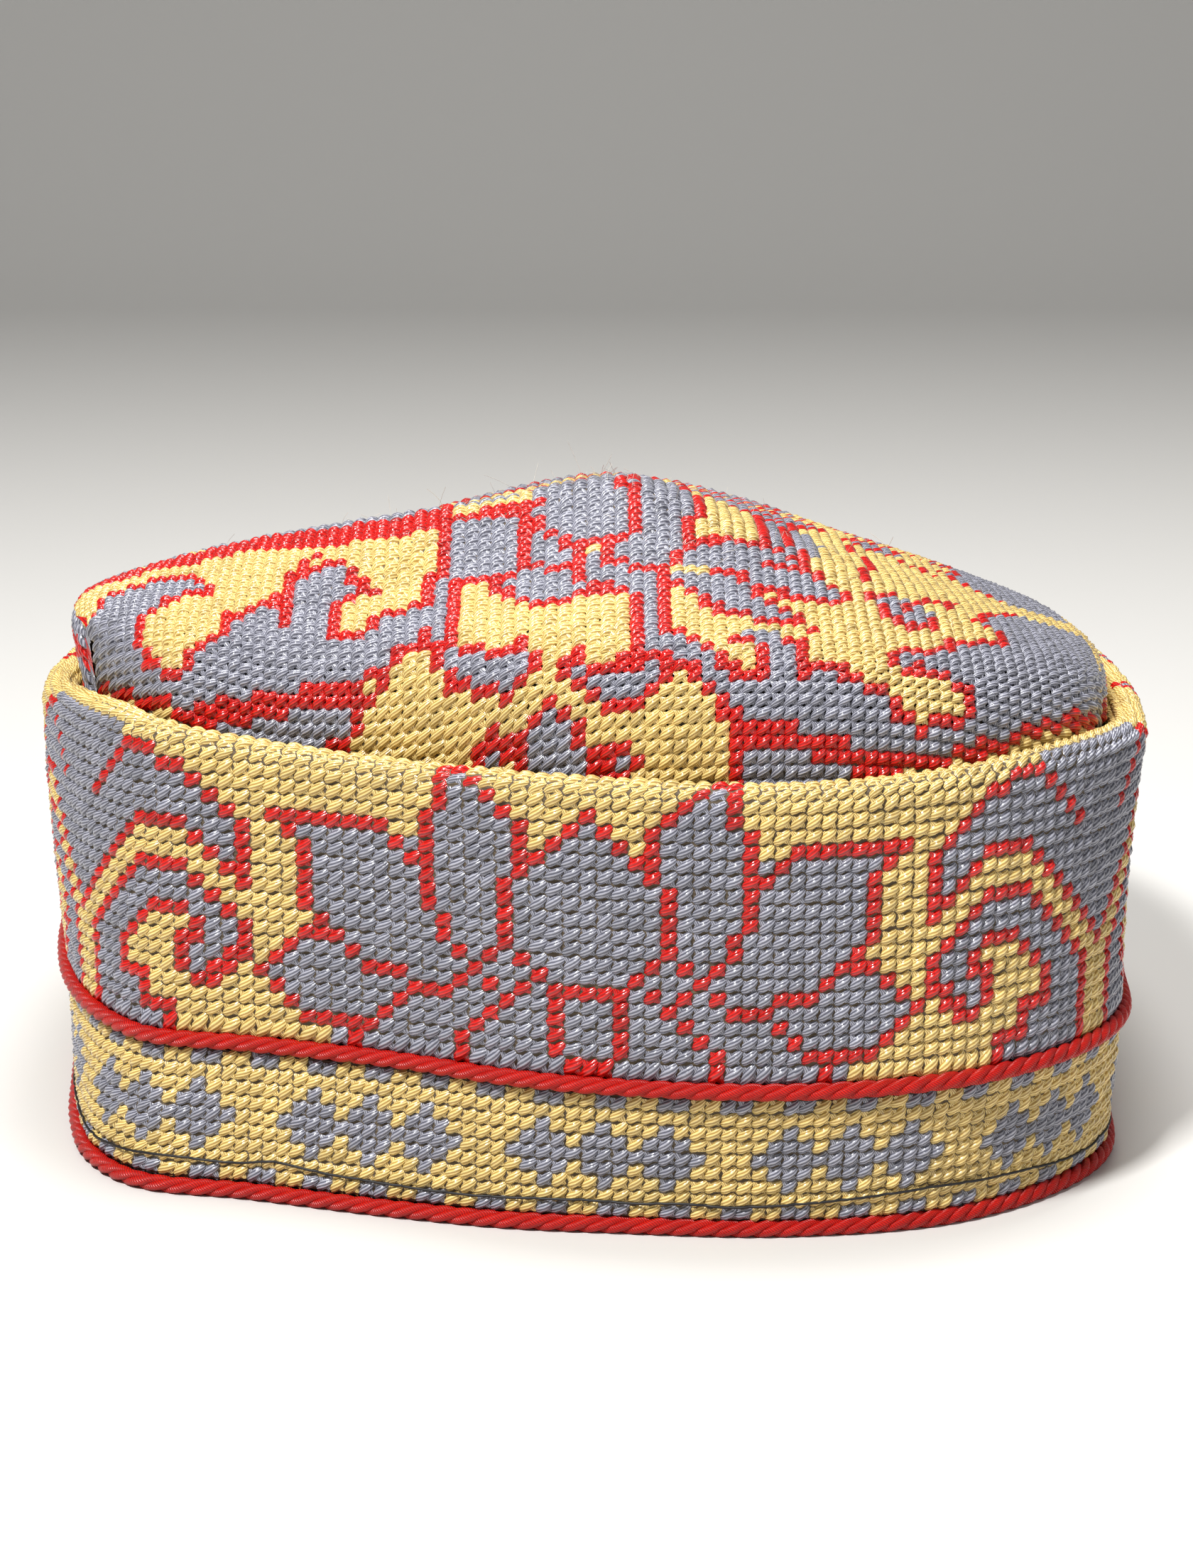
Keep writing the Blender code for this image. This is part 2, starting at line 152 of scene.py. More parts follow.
# The crown's chart: c stitches to the right of its middle, b rows in front of its peak.
# The grey fields, and the red lines round them and between them.
LEFT_CUP = ((-8.3, 20.8), (-8.1, 22.2), (-7.2, 23.2), (-6.4, 24.2), (-5.4, 24.9),
            (-4.4, 25.3), (-2.8, 25.8), (-1.9, 25.2), (-1.2, 24), (-1.3, 22.6), (-1.8, 21.2),
            (-3.2, 21.9), (-4.4, 21.9), (-5.3, 20.9), (-6.8, 20.3))
RIGHT_CUP = ((0.7, 23.8), (1, 25.2), (2.2, 26.4), (3, 27.4), (4.4, 28.2), (6, 28),
             (7.2, 27), (7.9, 25.6), (7.5, 24.2), (6.2, 24.5), (4.8, 25.1), (3.4, 25),
             (2.2, 24.2))
CROWN_FIELDS = (
    # the front left petal, its two hooks and its stem beside the box
    ((-7, 20), (-7, 10.8), (-9.2, 10.4), (-9.2, 14.2), (-11.2, 14.8), (-12.4, 15.6),
     (-14.3, 18.2), (-15.6, 18), (-16.4, 16.6), (-16.3, 14.2), (-14.8, 13.2), (-13.5, 12),
     (-14.6, 10.6), (-16, 8.9), (-18, 9.7), (-20, 11.5), (-20, 17.4), (-21, 14.2),
     (-23.2, 16), (-24.6, 17.4), (-25.2, 19), (-27.2, 21), (-28.2, 23.4), (-29.2, 24),
     (-31.8, 22.9), (-33.2, 21), (-33.3, 19.4), (-32.4, 17.4), (-30.6, 15.4), (-29, 14.4),
     (-27, 13.8), (-26.9, 12.8), (-29.2, 11), (-31.5, 11.2), (-34.6, 11.6), (-37, 13.2),
     (-40, 17), (-46, 17), (-46, 22), (-38, 23.6), (-35, 25.2), (-32, 25.8), (-28.2, 27.3),
     (-24, 25.3), (-20, 24.2), (-17, 23.7), (-14.3, 23.3), (-12.4, 22), (-11, 20.5),
     (-9, 19.9)),
    # the front right petal, its two hooks and its stem beside the box
    ((6.4, 24), (6, 16), (8.1, 16), (8.1, 20.6), (9.6, 22), (10.8, 22.8), (12, 24.8),
     (13.2, 25.6), (14.8, 25.5), (15.2, 23.6), (12.8, 21.3), (14, 20.2), (15.6, 20.4),
     (18.2, 22.6), (18.2, 25.6), (19.5, 25), (21.3, 25.6), (23, 26.9), (25, 27.8),
     (25, 28.8), (27, 29.6), (29.6, 29), (31.1, 28.3), (30.9, 25.8), (28, 25.2),
     (25.4, 24.4), (25.4, 23), (26.6, 21.6), (29.8, 21.4), (30.5, 18.8), (31.6, 19.4),
     (33.6, 17.8), (35, 18.4), (35.1, 14.6), (33.4, 13), (34.4, 9.6), (38, 4), (46, 4),
     (46, 22), (40, 26), (36, 28.4), (32.5, 30.6), (29, 32), (25, 32.9), (21, 31.9),
     (17, 30.7), (13.2, 29.6), (11.6, 27.6), (9.6, 25.2), (8.4, 24.4)),
    # the two cups under the box
    LEFT_CUP,
    RIGHT_CUP,
    # the spade at the fold and its two beads
    ((0.2, 27.3), (-1.2, 28.4), (-2, 29.4), (-2.4, 33), (3.5, 34), (3, 30.7), (2, 29.6),
     (1.2, 28.4)),
    ((-3.9, 28.5), (-5, 29.5), (-4, 30.6), (-2.8, 29.6)),
    ((4.5, 31), (3.5, 32), (4.7, 33.2), (5.9, 32.2)),
    # the wedges between the petals and the fold
    ((-27, 27.8), (-24, 26), (-20, 25), (-17, 24.5), (-14.4, 24.2), (-14.2, 26),
     (-16, 27.4), (-16, 31), (-27, 31)),
    ((13.5, 30.8), (17, 31.6), (21, 32.8), (25, 34), (25, 38), (13.5, 38)),
    # the panel left of the peak
    ((-8.2, 2.6), (-8.3, 7.5), (-8.1, 10.7), (-3, 10.7), (-1.8, 9.8), (-1.6, 2.5), (-5, 2.5)),
    # the half disc in the top of the box
    ((-4.2, 10.9), (-3.6, 12.8), (-2.2, 14.8), (-1, 15.7), (0.4, 16.1), (2, 15.4),
     (3.4, 14.2), (2.6, 13.2), (2, 12.4), (0.4, 10.8)),
    # the fields round the peak
    ((-1.8, 10), (-1.3, 4), (0.3, 6.1), (1.6, 8.2), (2.2, 9), (2, 12.3), (0.4, 10.8)),
    ((2.2, 8.6), (3.7, 9.4), (4.5, 10.7), (5.8, 11.9), (7.7, 11.9), (8.1, 15.9),
     (5.3, 15.4), (3.7, 13.8), (2.4, 12.6)),
    ((-1.3, 4), (-1.6, 1.5), (-1, -4), (5, -4), (5.4, 0.5), (6.2, 3.2), (5.8, 6.5),
     (5.3, 8), (3.7, 8.4), (1.6, 8.2), (0.3, 6.1)),
    ((5, -4), (5.4, 0.5), (6.2, 3.2), (5.8, 6.5), (4.6, 8.8), (4.6, 10.6), (7.7, 11.9),
     (9.2, 10.6), (9.9, 9), (10.4, 6.5), (10.6, 3), (10.4, -4)),
    # the two leaves and the hook on the right
    ((9.9, 8.8), (11.4, 7.8), (12.6, 7.2), (17.4, 7.1), (18.6, 8.8), (17.4, 9.8),
     (19.9, 10.2), (21.2, 12.3), (22.1, 14.2), (19.2, 15.2), (16.6, 14.4), (14.8, 13.8),
     (13.9, 12.4), (11.6, 12), (8.5, 11.6)),
    ((8.2, 12.3), (11.6, 12), (13.8, 12.8), (15.2, 15), (17, 17), (18.6, 19.6),
     (15, 18.9), (12, 17.5), (11, 17), (10.2, 15.2), (8.4, 14)),
    ((25.8, 10.8), (24.2, 12.4), (25.1, 14.4), (25.6, 16.4), (27.4, 17.8), (29.4, 16.6),
     (29.3, 14.6), (28.4, 11.8)),
    # behind the ridge on both sides of the peak
    ((-46, 7), (-30, 4), (-25, 3), (-18, 3), (-13, 2), (-9, 1), (-8, 1), (-2, 1),
     (-2, -4), (-46, -4)),
    ((16.4, -4), (16.4, 5.5), (18.4, 8.2), (20.5, 6), (21.4, -4)),
)
RIDGE = ((-46, 11), (-34, 9.4), (-29.3, 8.6), (-25.5, 7.4), (-18, 6.8), (-14, 6.3),
         (-10, 5.4), (-8.4, 4))
CROWN_LINES = (
    # round the front left petal
    ((-7, 20), (-7, 10.8), (-3, 10.7)),
    ((-8.2, 9.8), (-9.2, 10.6), (-9.2, 14.2), (-11.2, 14.8), (-12.4, 15.6), (-14.3, 18.2),
     (-15.6, 18), (-16.4, 16.6), (-16.3, 14.2), (-14.8, 13.2), (-13.5, 12), (-14.6, 10.6),
     (-16, 8.9), (-18, 9.7), (-20, 11.5), (-20, 17.4), (-21, 14.2), (-23.2, 16),
     (-24.6, 17.4), (-25.2, 19), (-27.2, 21), (-28.2, 23.4), (-29.2, 24), (-31.8, 22.9),
     (-33.2, 21), (-33.3, 19.4), (-32.4, 17.4), (-30.6, 15.4), (-29, 14.4), (-27, 13.8),
     (-26.9, 12.8), (-29.2, 11), (-31.5, 11.2), (-34.6, 11.6), (-37, 13.2), (-40, 17)),
    ((-46, 21.4), (-38, 23.6), (-35, 25.2), (-32, 25.8), (-28.2, 27), (-26, 26)),
    ((-9.2, 17.6), (-9.2, 19.9)),
    ((-26, 26), (-24, 25), (-20, 23.8), (-17, 23.3), (-14.3, 22.9)),
    ((-27, 27), (-24, 25.9), (-20, 24.6), (-17, 24.2), (-14.3, 23.8), (-14.2, 26),
     (-15.8, 27.2)),
    ((-14.3, 22.9), (-12.4, 22), (-11, 20.5), (-9, 19.9), (-7, 20)),
    ((-12.4, 22), (-11.8, 23), (-12.8, 23.8)),
    ((-20, 11.5), (-19, 9), (-18, 7.6)),
    # round the front right petal
    ((5.2, 15.2), (6, 16), (6.4, 24), (8.4, 24.4), (9.6, 25.2), (11.6, 27.6), (13.2, 29.3),
     (17, 30.3), (21, 31.5), (25, 32.5), (29, 31.8), (32.5, 30.4), (36, 28.4), (40, 26),
     (46, 23)),
    ((11.2, 27.6), (12.6, 29.4)),
    ((8.1, 16), (8.1, 20.6), (9.6, 22), (10.8, 22.8), (12, 24.8), (13.2, 25.6),
     (14.8, 25.5), (15.2, 23.6), (14, 22.2), (12.8, 21.4)),
    ((17.2, 21.8), (18.2, 22.6), (18.2, 25.6), (19.5, 25), (21.3, 25.6), (23, 26.9),
     (25, 27.8), (25, 28.8), (27, 29.6), (29.6, 29), (31.1, 28.3), (30.9, 25.8), (28, 25.2),
     (25.4, 24.4), (25.4, 23), (26.6, 21.6), (29.8, 21.4), (30.5, 18.8), (31.6, 19.4),
     (33.6, 17.8), (35, 18.4), (35.1, 14.6), (33.4, 13), (34.4, 9.6), (38, 4)),
    ((26, 24.8), (27.3, 24.6), (27.2, 23.6)),
    ((13.2, 30.4), (17, 31.2), (21, 32.3), (24.5, 33.2)),
    ((13.4, 30.4), (13.4, 38)),
    # round the cups, the spade and its beads
    (*LEFT_CUP, LEFT_CUP[0]),
    (*RIGHT_CUP, RIGHT_CUP[0]),
    ((1.9, 22.8), (2, 23.8)),
    ((5.2, 23.6), (5.4, 24.6)),
    ((-2.4, 33), (-2, 29.4), (-1.2, 28.4), (0.2, 27.3), (1.2, 28.4), (2, 29.6), (3, 30.7),
     (3.5, 34)),
    ((-3.9, 28.5), (-5, 29.5), (-4, 30.6), (-2.8, 29.6), (-3.9, 28.5)),
    ((4.5, 31), (3.5, 32), (4.7, 33.2), (5.9, 32.2), (4.5, 31)),
    # round the panel, the half disc and the fields of the peak
    ((-1.6, 2.5), (-5, 2.5), (-8.2, 2.7), (-8.3, 9.8)),
    ((-1.5, 2), (-1.9, 10.2), (0.4, 10.8), (2, 12.4), (2.6, 13.2), (4.2, 14.6), (5.2, 15.2)),
    ((-3, 10.7), (-1.9, 10.2)),
    ((-4.2, 10.9), (-3.6, 12.8), (-2.2, 14.8), (-1, 15.7), (0.4, 16.1), (2, 15.4),
     (3.4, 14.2)),
    ((-1.3, 4), (0.3, 6.1), (1.6, 8.2), (2.2, 8.6), (2, 12.4)),
    ((1.6, 8.2), (3.7, 8.4), (5.3, 8), (5.8, 6.5), (6.2, 3.2), (5.4, 0.5), (5, -4)),
    ((3.7, 9.2), (4.5, 10.7), (5.8, 11.9), (7.7, 11.9), (9.2, 10.6), (9.9, 9), (10.4, 6.5),
     (10.6, 3), (10.4, -4)),
    ((7.7, 11.9), (8.1, 16)),
    # round the leaves and the hook
    ((9.9, 8.8), (11.4, 7.8), (12.6, 7.2), (17.4, 7.1), (18.6, 8.8), (18.4, 2), (17.8, -4)),
    ((15.6, 10.2), (17.4, 9.8), (19.9, 10.2), (21.2, 12.3), (22.1, 14.2), (19.2, 15.2),
     (16.6, 14.4), (14.8, 13.8), (13.9, 12.4), (11.6, 12)),
    ((13.8, 12.8), (15.2, 15), (17, 17), (18.6, 19.6), (15, 18.9), (12, 17.5), (11, 17),
     (10.2, 15.2), (8.4, 14)),
    ((28.4, 11.8), (27.2, 12.8), (27.2, 14.2)),
    ((25.8, 10.8), (24.2, 12.4), (25.1, 14.4), (25.6, 16.4), (27.4, 17.8), (29.4, 16.6),
     (29.3, 14.6)),
    # the ridge on the left, and the lines that run back on the right
    *(tuple((c, b - row) for c, b in RIDGE) for row in range(1, 5)),
    ((16.4, -4), (16.4, 5.5)),
    ((24.6, -4), (24.6, 4), (23.8, 8.6)),
    ((28.4, 11.8), (29, 9.8), (31, 10.6), (31.6, 8)),
)
CROWN_MIDDLE = -5.9        # where the chart's middle column lies, in the table's plan
SPINE_BEND = 14.0 / 50 ** 2   # how the line through the peak bends back at the sides
CROWN_CENTRE = -19         # the chart's row across the middle of the crown
SKIRT_ROW = 20.8           # the chart's row at the shoulder, for the crown's sides
SIDE_MIDDLE = -4.0         # the row of the middle of the left and right sides
HIDDEN_BELOW = 2.2         # stitches this far under the fold, in mm, are left out
# sections at the crown's corners: front right, back right, back left, front left
CROWN_CORNERS = (89.0, 217.0, 333.0, 457.0)

# The cords: three yarns each, in mm
YARNS = 3
YARN_RADIUS = 0.66
YARN_OUT = 0.52            # from the cord's middle to a yarn's middle

# The black thread of the last seam, along the front from left to right:
# mm from the front's middle and rows up from the band's bottom edge
SEAM_WAVES = ((-72, 0.95), (-60, 1.5), (-50, 1.25), (-45, 1.75), (-38, 1.3), (-31, 1.15),
              (-23, 1.0), (-16, 1.0), (-9, 1.15), (-2, 1.25), (5, 1.1), (11, 1.3), (16, 1.05),
              (23, 1.2), (31, 1.45), (38, 1.7), (45, 1.9), (52, 1.75), (60, 1.6),
              (68, 1.2), (79, 1.0))


def linear(hex_colour):
    """An sRGB hex colour as linear values."""
    values = [int(hex_colour[i:i + 2], 16) / 255 for i in (1, 3, 5)]
    return [v / 12.92 if v <= 0.04045 else ((v + 0.055) / 1.055) ** 2.4 for v in values]


# Form of the cap

PLAN = np.array([(station.x, station.y) for station in STATIONS])
KNOTS = np.concatenate(([0.0], np.cumsum(np.hypot(*(np.roll(PLAN, -1, 0) - PLAN).T))))
GIRTH = KNOTS[-1]


def at(column, distance):
    """A column of the table, read smoothly at distances round the plan."""
    distance = np.mod(distance, GIRTH)
    count = len(STATIONS)
    values = np.array([getattr(station, column) for station in STATIONS])
    spans = np.diff(KNOTS)
    i = np.clip(np.searchsorted(KNOTS, distance, side="right") - 1, 0, count - 1)
    before, here, after, beyond = (values[(i + k) % count] for k in (-1, 0, 1, 2))
    gaps = [spans[(i + k) % count] for k in (-1, 0, 1)]
    slopes = [(here - before) / gaps[0], (after - here) / gaps[1], (beyond - after) / gaps[2]]
    start, end = (slopes[0] + slopes[1]) / 2, (slopes[1] + slopes[2]) / 2
    t = (distance - KNOTS[i]) / gaps[1]
    return ((2 * t ** 3 - 3 * t ** 2 + 1) * here
            + (t ** 3 - 2 * t ** 2 + t) * gaps[1] * start
            + (3 * t ** 2 - 2 * t ** 3) * after
            + (t ** 3 - t ** 2) * gaps[1] * end)


def place(distance, out, height):
    """Points that stand out from the join's line, at heights; millimetres in the frame."""
    step = 0.5
    along_x = at("x", distance + step) - at("x", distance - step)
    along_y = at("y", distance + step) - at("y", distance - step)
    size = np.hypot(along_x, along_y)
    x = at("x", distance) + along_y / size * out - BOX_MIDDLE[0]
    y = at("y", distance) - along_x / size * out - BOX_MIDDLE[1]
    return np.stack(np.broadcast_arrays(x, y, height), -1)


def wall_out(distance, part):
    """How far the wall's face stands out, part of the way from the join to the fold."""
    return at("lean", distance) * part + at("belly", distance) * 4 * part * (1 - part)


WALL_LOW = JOIN_HEIGHT + PIPING_CORD / 2 + SEWN_GAP
BAND_LOW = EDGE_SEAT + EDGE_CORD / 2 + SEWN_GAP
BAND_HIGH = JOIN_HEIGHT - PIPING_CORD / 2 - SEWN_GAP


def wall_point(distance, climb, depth):
    """The wall at a climb from its lower edge, over the fold, at a depth in the cloth."""
    spring = at("rim", distance) - ROLL_RADIUS
    height = spring - WALL_LOW
    part = np.clip(climb / height, 0, 1)
    turn = np.clip((climb - height) / ROLL_RADIUS, 0, pi)
    flap = np.maximum(climb - height - pi * ROLL_RADIUS, 0)
    axis = wall_out(distance, 1.0) - ROLL_RADIUS
    rising = climb < height
    out = np.where(rising, wall_out(distance, part) - depth,
                   axis + (ROLL_RADIUS - depth) * np.cos(turn))
    up = np.where(rising, WALL_LOW + climb,
                  spring + (ROLL_RADIUS - depth) * np.sin(turn) - flap)
    return place(distance, out, up)


def band_point(distance, climb, depth):
    """The ribbon band at a climb from its lower edge, at a depth in the ribbon."""
    height = BAND_LOW + climb
    out = at("kick", distance) * (1 - height / JOIN_HEIGHT)
    return place(distance, out - depth, height)


# The crown's shoulder, seen from the peak, to find the section under a point of the plan
SHOULDER_STEPS = np.linspace(0, GIRTH, 4000, endpoint=False)
SHOULDER = place(SHOULDER_STEPS,
                 wall_out(SHOULDER_STEPS, 1.0) - at("inset", SHOULDER_STEPS),
                 at("rim", SHOULDER_STEPS) + at("rise", SHOULDER_STEPS))
PEAK = np.array([APEX[0] - BOX_MIDDLE[0], APEX[1] - BOX_MIDDLE[1], APEX[2]])
BEARINGS = np.unwrap(np.arctan2(SHOULDER[:, 1] - PEAK[1], SHOULDER[:, 0] - PEAK[0]))


def crown_height(x, y):
    """The crown's face over the plan: height, share of the way out, and its section."""
    across, along = x - PEAK[0], y - PEAK[1]
    bearing = np.mod(np.arctan2(along, across) - BEARINGS[0], 2 * pi)
    section = np.interp(bearing, np.append(BEARINGS - BEARINGS[0], 2 * pi),
                        np.append(SHOULDER_STEPS, GIRTH))
    shoulder = place(section, wall_out(section, 1.0) - at("inset", section),
                     at("rim", section) + at("rise", section))
    reach = np.hypot(shoulder[..., 0] - PEAK[0], shoulder[..., 1] - PEAK[1])
    share = np.hypot(across, along) / reach
    way = np.clip(1 - share, 0, 1)
    height = shoulder[..., 2] + (PEAK[2] - shoulder[..., 2]) * way
    height += at("puff", section) * 6.75 * way * (1 - way) ** 2
    height -= at("dip", section) * 4 * way * (1 - way)
    height -= APEX_BLUNT * (np.maximum(0, way - 1 + APEX_ROUND) / APEX_ROUND) ** 2
    return height, share, section


def steep_point(section, down, depth):
    """The crown's steep side, at a distance down from the shoulder."""
    rim, rise = at("rim", section), at("rise", section)
    foot = wall_out(section, 1.0) - 2 * ROLL_RADIUS - SEWN_GAP
    top = wall_out(section, 1.0) - at("inset", section)
    swell = (2 * foot + top) / 3 + STEEP_BULGE
    first = np.hypot(swell - top, (1 - STEEP_PART) * rise)
    second = np.hypot(foot - swell, STEEP_PART * rise + 1.0)
    a = np.clip(down / first, 0, 1)
    b = np.maximum(down - first, 0) / second
    out = top + (swell - top) * a + (foot - swell) * np.minimum(b, 1)
    height = rim + rise - (1 - STEEP_PART) * rise * a - (STEEP_PART * rise + 1.0) * b
    return place(section, out - depth, height - 0.3 * depth)


def crown_point(x, y, depth):
    """The crown over a point of the plan; beyond the shoulder it turns down the side."""
    height, share, section = crown_height(x, y)
    reach = np.hypot(x - PEAK[0], y - PEAK[1]) / np.maximum(share, 1e-6)
    side = steep_point(section, (share - 1) * reach, depth)
    top = np.stack(np.broadcast_arrays(x, y, height - depth), -1)
    return np.where((share > 1)[..., None], side, top)


def normals_of(points, wrap):
    """Unit normals of a lattice of points, facing out of the cloth."""
    if wrap:
        along = np.roll(points, -1, 0) - np.roll(points, 1, 0)
    else:
        along = np.gradient(points, axis=0)
    up = np.gradient(points, axis=1)
    normal = np.cross(along, up)
    size = np.linalg.norm(normal, axis=-1, keepdims=True)
    return normal / np.maximum(size, 1e-9)


# Charts

def near_line(c, b, line):
    """Which stitches a line passes through."""
    found = np.zeros(np.shape(c), bool)
    for (c0, b0), (c1, b1) in zip(line, line[1:]):
        if abs(c1 - c0) > abs(b1 - b0):
            t = np.clip((c - c0) / (c1 - c0), 0, 1)
            off, over = b - (b0 + (b1 - b0) * t), c - (c0 + (c1 - c0) * t)
        else:
            t = np.clip((b - b0) / (b1 - b0 or 1), 0, 1)
            off, over = c - (c0 + (c1 - c0) * t), b - (b0 + (b1 - b0) * t)
        found |= (np.abs(off) <= 0.5) & (np.abs(over) <= 0.5)
    return found


def inside(c, b, outline):
    """Which stitches lie inside an outline."""
    found = np.zeros(np.shape(c), bool)
    for (c0, b0), (c1, b1) in zip(outline, outline[1:] + outline[:1]):
        if b0 == b1:
            continue
        crosses = (b0 > b) != (b1 > b)
        found ^= crosses & (c < c0 + (c1 - c0) * (b - b0) / (b1 - b0))
    return found


def wall_chart(c, r):
    """The thread of the wall's stitches: a palmette on each side, scrolls at the corners."""
    c = np.abs(c)
    c = np.minimum(c, SIDE_STITCHES - c)
    thread = np.full(np.shape(c), GROUND)
    for area in WALL_AREAS:
        thread[inside(c, r, area)] = GREY
    for line in WALL_LINES:
        thread[near_line(c, r, line)] = RED
    return thread


def crown_chart(c, b):
    """The thread of the crown's stitches; its back half mirrors the front half."""
    b = np.where(b < CROWN_CENTRE, 2 * CROWN_CENTRE - b, b)
    b = np.abs(b)
    thread = np.full(np.shape(c), GROUND)
    for field in CROWN_FIELDS:
        thread[inside(c, b, field)] = GREY
    for line in CROWN_LINES:
        thread[near_line(c, b, line)] = RED
    return thread


def band_chart(c, r):
    """The thread of the band's stitches: r counts rows down from the join."""
    thread = np.full(np.shape(c), GROUND)
    edge = (r == 0) | (r == BAND_ROWS - 1)
    thread[edge & (np.mod(c, 4) < 2)] = GREY
    place_in_cluster = np.mod(c + 8, 16) - 8
    nearest = np.minimum(np.abs(place_in_cluster), np.minimum(
        np.abs(place_in_cluster - 4), np.abs(place_in_cluster + 4)))
    thread[nearest <= 2 - np.abs(r - 4)] = GREY
    return thread


# Meshes

def new_object(name, points, faces, material, thread_map=None):
    """A mesh object from points in millimetres; thread_map holds a place along and across
    the thread for each corner of each face."""
    data = bpy.data.meshes.new(name)
    points = np.asarray(points, float).reshape(-1, 3) * MM
    faces = np.asarray(faces, np.int32)
    data.vertices.add(len(points))
    data.vertices.foreach_set("co", points.astype(np.float32).ravel())
    data.loops.add(faces.size)
    data.loops.foreach_set("vertex_index", faces.ravel())
    data.polygons.add(len(faces))
    data.polygons.foreach_set("loop_start", np.arange(len(faces), dtype=np.int32) * faces.shape[1])
    data.update(calc_edges=True)
    data.polygons.foreach_set("use_smooth", np.full(len(faces), True))
    if thread_map is not None:
        layer = data.uv_layers.new(name="thread")
        layer.data.foreach_set("uv", np.asarray(thread_map, np.float32).ravel())
    data.materials.append(material)
    item = bpy.data.objects.new(name, data)
    bpy.context.scene.collection.objects.link(item)
    return item


def grid_faces(across, up, wrap):
    """Quads of a lattice, across times up points, facing out."""
    columns = across if wrap else across - 1
    i, j = np.meshgrid(np.arange(columns), np.arange(up - 1), indexing="ij")
    after = (i + 1) % across
    quads = (i * up + j, after * up + j, after * up + j + 1, i * up + j + 1)
    return np.stack(quads, -1).reshape(-1, 4)


def shell(name, outer, inner, material, wrap=True):
    """A closed sheet between two lattices that wrap round the cap."""
    across, up = outer.shape[:2]
    faces = grid_faces(across, up, wrap)
    count = across * up
    rims = []
    for row in (0, up - 1):
        i = np.arange(across)
        a, b = i * up + row, (i + 1) % across * up + row
        rim = np.stack((a, a + count, b + count, b), -1)
        rims.append(rim if row == 0 else rim[:, ::-1])
    points = np.concatenate((outer.reshape(-1, 3), inner.reshape(-1, 3)))
    every = np.concatenate((faces, faces[:, ::-1] + count, *rims))
    return new_object(name, points, every, material)


def leg_template(start, end, half_width, rise, sink, across, along):
    """One leg of a cross stitch in its cell: points (u, v, height), faces and thread map."""
    start, end = np.array(start, float), np.array(end, float)
    run = end - start
    side = np.array((-run[1], run[0])) / np.hypot(*run)
    points, threads = [], []
    for t in np.linspace(0, 1, along):
        arch = np.sin(pi * t) ** 0.55
        width = half_width * (0.55 + 0.45 * np.sin(pi * t) ** 0.7)
        for q in np.linspace(-1, 1, across):
            spot = start + run * t + side * width * np.sin(q * pi / 2)
            height = sink + (rise - sink) * arch * (0.12 + 0.88 * np.cos(q * pi / 2) ** 0.8)
            points.append((spot[0], spot[1], height))
            threads.append((t, (q + 1) / 2))
    # the faces look out of the cloth: along the leg times across it
    i, j = np.meshgrid(np.arange(along - 1), np.arange(across - 1), indexing="ij")
    quads = np.stack((i * across + j, (i + 1) * across + j, (i + 1) * across + j + 1,
                      i * across + j + 1), -1).reshape(-1, 4)
    return np.array(points), quads, np.array(threads)


UPPER_LEG = leg_template((-0.03, 0.0), (1.03, 1.0), 0.34, 1.0, -0.15, 5, 5)
UNDER_LEG = leg_template((0.97, 0.03), (0.03, 0.97), 0.32, 0.55, -0.15, 3, 4)


def stitches(name, corners, normals, material, seed):
    """Cross stitches in cells: corners (cells, 4, 3) in mm, normals (cells, 3)."""
    rng = np.random.default_rng(seed)
    count = len(corners)
    shade = rng.normal(0, 1, count)
    all_points, all_faces, all_maps, all_shades = [], [], [], []
    base = 0
    for points, quads, threads in (UPPER_LEG, UNDER_LEG):
        lean = rng.normal(0, 0.035, (count, 1, 2))
        turn = rng.normal(0, 0.07, (count, 1))
        swell = 1 + rng.normal(0, 0.10, (count, 1))
        u, v, height = points[None, :, 0] - 0.5, points[None, :, 1] - 0.5, points[None, :, 2]
        a = u - turn * v + lean[..., 0] + 0.5
        b = v + turn * u + lean[..., 1] + 0.5
        weights = np.stack(((1 - a) * (1 - b), a * (1 - b), a * b, (1 - a) * b), -1)
        spots = np.einsum("kpc,kcx->kpx", weights, corners)
        spots += normals[:, None, :] * (height * swell)[..., None] * STITCH_RISE
        per = points.shape[0]
        all_points.append(spots.reshape(-1, 3))
        offsets = base + np.arange(count)[:, None, None] * per
        all_faces.append((quads[None] + offsets).reshape(-1, 4))
        all_maps.append(np.tile(threads, (count, 1)))
        all_shades.append(np.repeat(shade, per))
        base += count * per
    faces = np.concatenate(all_faces)
    item = new_object(name, np.concatenate(all_points), faces, material,
                      np.concatenate(all_maps)[faces.ravel()])
    tone = item.data.attributes.new("tone", "FLOAT", "POINT")
    tone.data.foreach_set("value", np.concatenate(all_shades).astype(np.float32))
    return item


def cells_of(points, normals, wrap):
    """Corners and normals of a lattice's cells, in the lattice's order."""
    if wrap:
        points = np.concatenate((points, points[:1]))
        normals = np.concatenate((normals, normals[:1]))
    corners = np.stack((points[:-1, :-1], points[1:, :-1], points[1:, 1:], points[:-1, 1:]), 2)
    facing = (normals[:-1, :-1] + normals[1:, :-1] + normals[1:, 1:] + normals[:-1, 1:]) / 4
    return corners, facing


